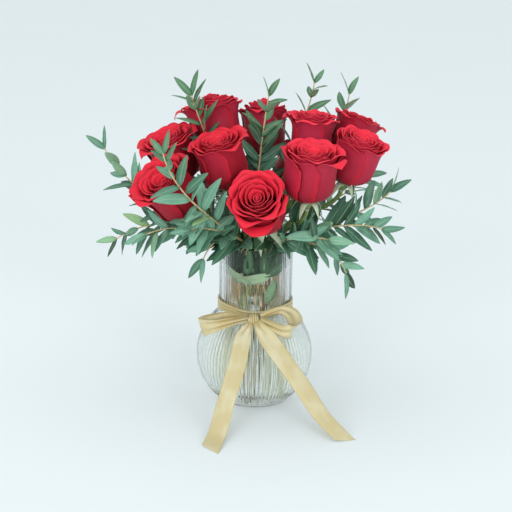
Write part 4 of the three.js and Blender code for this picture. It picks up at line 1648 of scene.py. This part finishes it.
@dataclass
class Sprays:
    """All the leafy stems, with the solids' leaves in finer form and more leaves between them."""

    stem_radius: float = 1.4
    taper: float = 0.55
    foot_z: float = 24.0
    stem_rows: int = 5
    length: float = 32.0
    tip_length: float = 20.0
    width: float = 9.0
    opening: float = 52.0
    opening_range: float = 16.0
    tip_opening: float = 24.0
    bend: float = 0.10
    spacing: float = 18.0
    bare: float = 0.24
    solid_row: float = 0.68
    leaf_ratio: float = 0.31
    fullness: float = 0.5
    least_width: float = 7.0
    neck_inside: float = 34.4
    neck_width: float = 11.0
    rim_half: float = 42.0
    rim_front: float = -34.0
    rim_top: float = 186.0
    gap: float = 1.6
    apart: float = 2.6

    def pairs(self, spray: Spray, index: int, knots: int,
              numbers: Array) -> tuple[LeafSet, Array, Array, Array]:
        """Opposite leaves at knots along a stem.

        Args:
            spray: The stem.
            index: Its number.
            knots: How many stretches between pairs the stem has.
            numbers: The knots to fill, which may lie between whole ones.

        Returns:
            The leaves, and for each leaf its stem's direction, its direction away from the stem and
            its opening angle.
        """
        curve = spray.curve()
        seed = index * 200 + numbers * 5
        t = self.bare + (1 - self.bare) * numbers / knots
        spot = np.minimum(t, 0.99) * self.stem_rows
        row = np.minimum(self.stem_rows - 1, np.floor(spot))
        low, high = curve.points(row / self.stem_rows), curve.points((row + 1) / self.stem_rows)
        root = lerp(low, high, (spot - row)[:, None])
        along = curve.tangents(t)
        turn = numbers * 90 + 40 * draw(seed)
        fall = lerp(self.length, self.tip_length, (numbers / knots) ** 2)
        opening = self.opening + self.opening_range * (draw(seed + 3) - 0.5)
        opening = np.where(numbers == knots, self.tip_opening, opening)
        both = [np.repeat(v, 2, axis=0) for v in (root, along, turn, fall, opening, seed)]
        root, along, turn, fall, opening, seed = both
        side = np.tile([0.0, 1.0], len(numbers))
        length = fall * (0.85 + 0.35 * draw(seed + 1 + side))
        count = len(length)
        tone = draw(seed + 11 + side * 2)
        width, bend = np.full(count, self.width), np.full(count, self.bend)
        leaves = LeafSet(root, along, along, length, width, bend, tone)
        return leaves, along, sideways(along, turn + side * 180), opening

    def large(self, spray: Spray, index: int) -> LeafSet:
        """The stem's extra large leaves, each from its place on the stem to its tip, facing out and up.

        Args:
            spray: The stem.
            index: Its number, from 0.

        Returns:
            The leaves.
        """
        rows = [row for row in LARGE_LEAVES if row[0] == index + 1]
        share, width, tone = (np.array([row[k] for row in rows], float) for k in (1, 3, 4))
        root = spray.curve().points(share)
        reach = np.array([row[2] for row in rows], float).reshape(-1, 3) - root
        length = np.linalg.norm(reach, axis=1)
        facing = np.broadcast_to(np.array([0, -0.6, 0.6]), root.shape)
        bend = np.full(len(rows), self.bend)
        return LeafSet(root, reach / length[:, None], facing, length, width, bend, tone)

    def leaves(self, spray: Spray, index: int, solid: Array, thicket: Thicket) -> LeafSet:
        """The solid's leaves and, between and beside them, more where there is room.

        None of those added reaches into the space before the rim, which is rim_half to each side, in
        front of rim_front and under rim_top.

        Args:
            spray: The stem.
            index: Its number, from 0.
            solid: The solid spray's points.
            thicket: What new leaves stay clear of.

        Returns:
            The leaves.
        """
        knots = int(round(spray.curve().length() * (1 - self.bare) / self.spacing))
        leaves, along, aside, opening = self.pairs(spray, index, knots, np.arange(knots + 1.0))
        own = solid_leaves(leaves, along, aside, opening, self.solid_row, solid)
        large = self.large(spray, index)
        thicket.remember(own.joined(large))
        between = np.arange(-1.5, knots, 1.0)
        chosen = draw(index * 83 + between * 7) < lerp(self.fullness, 1.0, between / knots)
        between = between[(self.bare + (1 - self.bare) * between / knots > 0.04) & chosen]
        more, along, aside, opening = self.pairs(spray, index, knots, between)
        turn = 110 * (draw(more.tone * 331) - 0.5)
        added = aim(more, along, aside, opening * lerp(0.6, 1.2, draw(more.tone * 197)), turn, 0.92)
        path = added.middle(np.array([0.3, 0.6, 1.0]))
        x, y, z = path[..., 0], path[..., 1], path[..., 2]
        over_rim = (np.abs(x) < self.rim_half) & (y < self.rim_front) & (z < self.rim_top)
        added = thicket.clear(added.kept(~over_rim.any(axis=1)), self.gap, self.apart)
        small = own.joined(added).grown(thicket, 0.25).toward_light(0.7)
        small = small.filled(self.leaf_ratio, self.least_width)
        # Leaves rooted near the middle of the bunch get up to half less tone, which moves them toward the
        # shaded colour: painted shade between the stems. Leaves high up get up to 0.4 less tone and are
        # darker too.
        inside = 1 - ease(np.hypot(small.root[:, 0], small.root[:, 1]), 38.0, 72.0)
        small.tone = small.tone * (1 - 0.4 * ease(small.root[:, 2], 225.0, 280.0)) * (1 - 0.5 * inside)
        return small.joined(large)

    def pressed(self, degrees: Array, z: Array, tilt: Array, length: Array, depth: Array,
                tone: Array) -> LeafSet:
        """Leaves against the inside of the neck, from a direction and height and tilted from upright.

        Each bends back from its face by its sideways reach squared over twice the neck's radius, so
        that it follows the glass.

        Args:
            degrees: The leaves' directions from the axis.
            z: The heights of their roots.
            tilt: Their angles from upright, in degrees.
            length: Their lengths.
            depth: How far from the glass they lie.
            tone: Their tones.

        Returns:
            The leaves.
        """
        out = polar(1.0, np.radians(degrees), 0.0)
        root = out * (self.neck_inside - depth)[:, None] + UP * z[:, None]
        bend = length * np.sin(np.radians(tilt)) ** 2 / (2 * self.neck_inside) + 0.02
        direction = turned(np.broadcast_to(UP, out.shape), out, tilt)
        return LeafSet(root, direction, out, length, np.full(len(z), self.neck_width), bend, tone)

    def collar(self, spray: Spray, index: int) -> LeafSet:
        """Leaves in the neck: seven nearly upright about each stem, and in front a few that lie across. The
        upright ones get tones near 0 and so the dark shaded colour: painted shade in the neck.

        Args:
            spray: The stem.
            index: Its number, from 0.

        Returns:
            The leaves.
        """
        number = np.arange(7)
        chance = [draw(index * 17 + k * 5 + number) for k in range(4)]
        angle = spray.slot.degrees + 7.0 * (number - 3)
        fronted = np.exp(-((np.abs((angle + 270) % 360 - 180)) / 45) ** 2)
        # Tones near 0 paint these leaves in the dark shaded colour, a painted shade.
        leaves = self.pressed(angle, 150 - 6 * fronted + 5 * chance[0], 50 * (chance[1] - 0.5),
                              24 + 7 * chance[2], 0.9 + 0.8 * np.mod(number * 3, 7),
                              0.2 * chance[3] ** 2)
        for owner, *leaf in NECK_LEAVES:
            if owner == index + 1:
                where, z, tilt, length, tone = (np.array([v]) for v in leaf)
                leaves = leaves.joined(self.pressed(where, z, tilt, length, np.zeros(1), tone))
        return leaves

    def build(self, frame: dict[str, Any], thicket: Thicket) -> None:
        """Makes every spray.

        Args:
            thicket: What new leaves stay clear of.
        """
        blade = LeafFinish("spray_leaf", "70a48b", "3f6e57", "8fbb94", "8fb47e", "b4ccac").make()
        # A darker, less shiny copy of the leaf finish for the leaves in the neck: painted shade.
        inside = LeafFinish("spray_inside", "8aa182", "3c5c40", "3a5a3c", "8fb47e", "7c9c7c", "15281a",
                            shine=0.12).make()
        # The first colour is the twig's foot inside the vase, painted pale as a painted light.
        twig = StemFinish("spray_twig", "dcdcc6", "96805a", "c2b083", "e6d2ae").make()
        shape = LeafShape(8, 5, 0.4, 0.16, 0.05, 0.05, 24.0)
        for index, spray in enumerate(SPRAYS):
            name = f"spray_{index + 1:02d}"
            leaves = self.leaves(spray, index, node_points(frame, name), thicket)
            stem = spray.slot.stem(spray.curve(), self.foot_z, self.stem_radius, self.taper, 8,
                                   0.25 * float(draw(index)))
            make_piece(f"{name}_leaves", [shape.make(leaves)], blade, "spray_leaf", name)
            make_piece(f"{name}_twig", [stem], twig, "spray_leaf")
            if spray.slot.waist == RIM_SPRAY:
                # The neck's leaves, in the darker copy of the finish, paint shade into the top of the neck.
                collar = shape.make(self.collar(spray, index))
                make_piece(f"{name}_collar", [collar], inside, "spray_leaf")


# ---- Ribbon ------------------------------------------------------------------------------------

class End(Enum):
    """How a strip of ribbon ends: both ends in the knot, or one end free."""

    LOOP = "loop"
    TAIL = "tail"


@dataclass(frozen=True)
class Strip:
    """A stretch of ribbon through its points.

    Across gives its width direction at its start, middle and end. Cut is how many millimetres past
    the middle one edge of a tail's free end reaches; the other edge stops as far short of it.
    """

    name: str
    points: tuple[tuple[float, float, float], ...]
    across: tuple[tuple[float, float, float], ...]
    end: End
    cut: float


STRIPS = (
    Strip("loop_left",
          ((-7.5, -50, 107.5), (-28, -60, 106), (-47, -61, 101), (-56, -56, 99), (-48, -49.5, 102),
           (-28, -45.5, 107), (-8, -46, 108)),
          ((0.1, -0.1, 1), (-0.28, -0.1, 1), (0.1, -0.1, 1)), End.LOOP, 0.0),
    Strip("loop_right",
          ((6, -47, 108), (16, -45.5, 112.5), (28, -44, 114.5), (38, -44.5, 110.5), (42.5, -49, 101.5),
           (38.5, -55, 95.5), (29.5, -57, 95.5), (18, -55, 100.5), (6, -51, 105)),
          ((0.1, -0.6, 0.79), (0.56, -0.15, 0.81), (0.15, -0.1, 1)), End.LOOP, 0.0),
    Strip("tail_left",
          ((-3.5, -52.5, 103), (-7.5, -55, 97), (-11, -59, 90), (-17, -71, 64), (-28, -93, 31),
           (-36, -117, 7), (-42, -140, 0.8)),
          ((0.7, -0.7, 0.1), (0.88, -0.45, 0.05), (0.92, -0.38, 0)), End.TAIL, 6.0),
    Strip("tail_right",
          ((1.5, -54.5, 105), (6.5, -57.5, 98.5), (14, -62, 89), (30, -71, 70), (50, -82, 46),
           (71, -96, 19), (94, -114, 0.8)),
          ((1, 0.2, 0.1), (0.9, 0.4, 0.05), (0.8, 0.6, 0)), End.TAIL, 7.0),
)


@dataclass
class Ribbon:
    """Satin ribbon tied round the neck in a bow: a band, a knot, two loops and two tails."""

    width: float = 20.0
    thickness: float = 0.35
    gather: float = 0.4
    pleat: float = 1.7
    pleats: float = 2.0
    band_radius: float = 39.3
    band_z: float = 107.0
    band_front: float = 7.0
    band_side: float = 14.0
    knot_at: tuple[float, float, float] = (-1.5, -49.5, 106.0)
    knot_size: tuple[float, float, float] = (5.0, 6.2, 5.8)
    lowest: float = 0.45
    columns: int = 33

    def spread(self, strip: Strip, t: Array) -> Array:
        """The share of the full width along a strip: drawn in at the knot.

        Args:
            strip: The strip.
            t: Shares of its length.

        Returns:
            One share of the width for each.
        """
        if strip.end is End.TAIL:
            return np.clip(3 * t, 0, 1)
        return np.where(t < 0.5, ease(t, 0.05, 0.5), ease(1 - t, 0.02, 0.46))

    def strip(self, strip: Strip, seed: int) -> Skin:
        """A strip carried along its curve.

        Across it, each row is a straight line of the gathered width, plus pleats: a cosine across the
        width that deepens as the width is drawn in, and a slow wave and a slight hollow elsewhere.

        Args:
            strip: The strip.
            seed: A number that shifts its pleats.

        Returns:
            The strip.
        """
        rows = 40 * (len(strip.points) - 1)
        t = np.linspace(0, 1, rows)
        centre = spline(np.array(strip.points, float), t)
        tangent = unit(np.gradient(centre, axis=0))
        ways = unit(np.array(strip.across, float))
        wide = np.stack([np.interp(t, [0, 0.5, 1], ways[:, axis]) for axis in range(3)], -1)
        wide = unit(wide - tangent * np.sum(wide * tangent, axis=1, keepdims=True))
        thick = np.cross(wide, tangent)
        spread = self.spread(strip, t)
        half = self.width / 2 * lerp(self.gather, 1, spread)
        s = np.linspace(-1, 1, self.columns)
        drawn = (1 - spread)[:, None]
        wave = np.cos(math.pi * self.pleats * (s + 0.2 * seed) + 3 * t[:, None])
        pleat = self.pleat * (drawn ** 0.8 + 0.06) * wave
        hollow = 0.7 * (1 - drawn) * (s ** 2 - 0.33) * np.sin(2.2 * math.pi * t[:, None] + seed)
        ahead = np.zeros((rows, self.columns))
        if strip.cut:
            ahead = strip.cut * ease(t, 1 - 1.2 * strip.cut / 100, 1.0)[:, None] * s
        flat = ease(centre[:, 2], 2.0, 14.0)[:, None]
        points = (centre[:, None] + wide[:, None] * (half[:, None] * s)[..., None]
                  + tangent[:, None] * ahead[..., None]
                  + thick[:, None] * ((pleat + hollow) * flat)[..., None])
        points[..., 2] = np.maximum(points[..., 2], self.lowest)
        # The tone rises in the valleys of the pleats near the knot, which paints shade there.
        valley_shade = (0.5 - 0.5 * pleat / self.pleat) * np.clip(1.6 * drawn, 0, 1) * flat
        return sheets(points[None], self.thickness, valley_shade[None])

    def band(self) -> Skin:
        """The band round the neck, from one side of the knot round to the other.

        Its height grows from the gathered front to the sides; three soft folds run along it as a
        cosine of the height, deeper in front.

        Returns:
            The band.
        """
        angle = np.linspace(0.006, TURN - 0.006, 260) - math.pi / 2
        behind = 0.5 + np.sin(angle) / 2
        share = np.minimum(1, 2 * behind)
        half = lerp(self.band_front, self.band_side, share) / 2
        s = np.linspace(-1, 1, self.columns)
        depth = (0.45 + 0.4 * (1 - share))[:, None]
        fold = depth * np.cos(3 * math.pi * s + 1.7 * np.sin(2 * angle)[:, None])
        radius = self.band_radius + 0.5 + fold
        lifted = np.abs(np.degrees(angle) % 360 - 270)
        raised = (2.5 * np.exp(-((lifted - 45) / 25) ** 2))[:, None]
        z = self.band_z + half[:, None] * s + raised
        points = polar(radius, angle[:, None], z)
        # The tone rises in the hollows of the folds, which paints shade there.
        return sheets(points[None], self.thickness, (0.45 - 0.7 * fold)[None])

    def knot(self) -> Skin:
        """The knot: the ribbon wound once round the gathered middle, fullest halfway across.

        Returns:
            The knot.
        """
        angle = np.linspace(0, TURN * 1.02, 90)
        s = np.linspace(-1, 1, 2 * self.columns)
        cx, cy, cz = self.knot_at
        rx, ry, rz = self.knot_size
        fold = np.cos(4 * math.pi * s + 1.3 * np.sin(angle + 0.5)[:, None]) * (1 - 0.5 * s ** 2)
        crown = 0.92 - 0.32 * s ** 2 + 0.12 * fold
        coil = 1 + 0.05 * angle[:, None] / TURN
        x = cx + rx * s + 0 * angle[:, None]
        y = cy + ry * crown * coil * np.cos(angle)[:, None]
        z = cz + rz * crown * coil * np.sin(angle)[:, None]
        # The tone rises in the hollows of the folds, which paints shade there.
        return sheets(np.stack([x, y, z], -1)[None], self.thickness, (0.4 - 0.5 * fold)[None])

    def build(self) -> None:
        """Makes the ribbon: its knot, band, loops and tails."""
        satin = SatinFinish().make()
        knot = make_piece("knot", [self.knot()], satin, "ribbon_satin", "ribbon_knot")
        self.width * MM
        band = make_piece("band", [self.band()], satin, "ribbon_satin", "ribbon_band")
        self.width * MM
        for seed, strip in enumerate(STRIPS):
            piece = make_piece(strip.name, [self.strip(strip, seed)], satin, "ribbon_satin",
                               f"ribbon_{strip.name}")
            length = line_length(spline(np.array(strip.points, float), np.linspace(0, 1, 200)))
            self.width * MM


# ---- Studio ------------------------------------------------------------------------------------

# Name, power, size and place of each.
SOFTBOXES = (
    ("softbox_left", 4.6, 1.3, (-1.1, -2.4, 1.1)),
    ("softbox_right", 3.8, 1.1, (1.3, -2.4, 0.9)),
)


@dataclass
class Studio:
    """Pale floor, soft light and the camera."""

    camera_at: tuple[float, float, float] = (-0.0001, -1.2734, 0.5677)
    pitch: float = 17.8
    roll: float = 1.13
    lens: float = 88.6
    floor_size: float = 40.0
    floor_z: float = 0.0001
    sky: str = "eff5f7"
    sky_in_front: str = "8f9698"
    sky_strength: float = 0.9
    sun_strength: float = 0.7
    sun_softness: float = 95.0
    sun_at: tuple[float, float, float] = (-0.5, -0.8, 2.4)
    lit_z: float = 0.2
    spread: float = 70.0
    bounces: int = 28

    def floor(self) -> None:
        """A wide floor, a tenth of a millimetre above the foot's underside, so that no gap shows."""
        half = self.floor_size / 2
        mesh = bpy.data.meshes.new("floor")
        low = self.floor_z
        corners = [(-half, -half, low), (half, -half, low), (half, half, low), (-half, half, low)]
        mesh.from_pydata(corners, [], [(0, 1, 2, 3)])
        mesh.materials.append(FloorFinish().make())
        floor = add_object("floor", mesh)

    def lights(self) -> None:
        """A pale sky, dimmer low in front, a very soft sun from the upper left and two softboxes."""
        world = bpy.data.worlds.new("studio")
        maker = Maker(world)
        _, forward, upward = maker.parts(maker.node("TexCoord").outputs["Generated"])
        front = forward.step(-0.1, -0.7) * upward.step(0.8, 0.3)
        sky = maker.mix(front, self.sky, self.sky_in_front)
        background = maker.node("Background", {"Color": sky, "Strength": self.sky_strength})
        maker.node("OutputWorld", {"Surface": background.outputs[0]})
        bpy.context.scene.world = world
        sun = bpy.data.lights.new("soft_sun", "SUN")
        sun.energy = self.sun_strength
        sun.angle = math.radians(self.sun_softness)
        self.aim_light(sun, self.sun_at)
        for name, power, size, spot in SOFTBOXES:
            box = bpy.data.lights.new(name, "AREA")
            box.energy = power
            box.size = size
            box.spread = math.radians(self.spread)
            self.aim_light(box, spot)

    def aim_light(self, light: bpy.types.Light, spot: tuple[float, float, float]) -> None:
        """Puts a light in its place, aimed at the middle of the bunch.

        Args:
            light: The light.
            spot: Its place, in metres.
        """
        lamp = add_object(light.name, light)
        lamp.location = spot
        aim_at = Vector((0, 0, self.lit_z)) - Vector(spot)
        lamp.rotation_euler = aim_at.to_track_quat("-Z", "Y").to_euler()

    def camera(self) -> None:
        """The camera in front, looking down by its pitch and rolled a little."""
        data = bpy.data.cameras.new("camera")
        data.lens = self.lens
        camera = add_object("camera", data)
        camera.location = self.camera_at
        camera.rotation_euler = (math.radians(90 - self.pitch), 0, 0)
        camera.rotation_euler.rotate_axis("Z", math.radians(self.roll))
        bpy.context.scene.camera = camera

    def build(self) -> None:
        """Sets the stage."""
        self.floor()
        self.lights()
        self.camera()
        scene = bpy.context.scene
        scene.view_settings.view_transform = "Standard"
        for kind in ("max", "transmission", "transparent_max"):
            setattr(scene.cycles, f"{kind}_bounces", self.bounces)


# ---- Main --------------------------------------------------------------------------------------

def main() -> None:
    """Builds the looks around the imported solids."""
    logging.basicConfig(level=logging.INFO, format="%(message)s")
    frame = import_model()
    solids = [name for name in frame["nodes"] if name.endswith("_bloom") or name.startswith("ribbon")]
    thicket = Thicket.of(frame, [*solids, "vase"])
    Studio().build()
    Vase().build()
    Roses().build(frame, thicket)
    Sprays().build(frame, thicket)
    Ribbon().build()


if __name__ == "__main__":
    main()
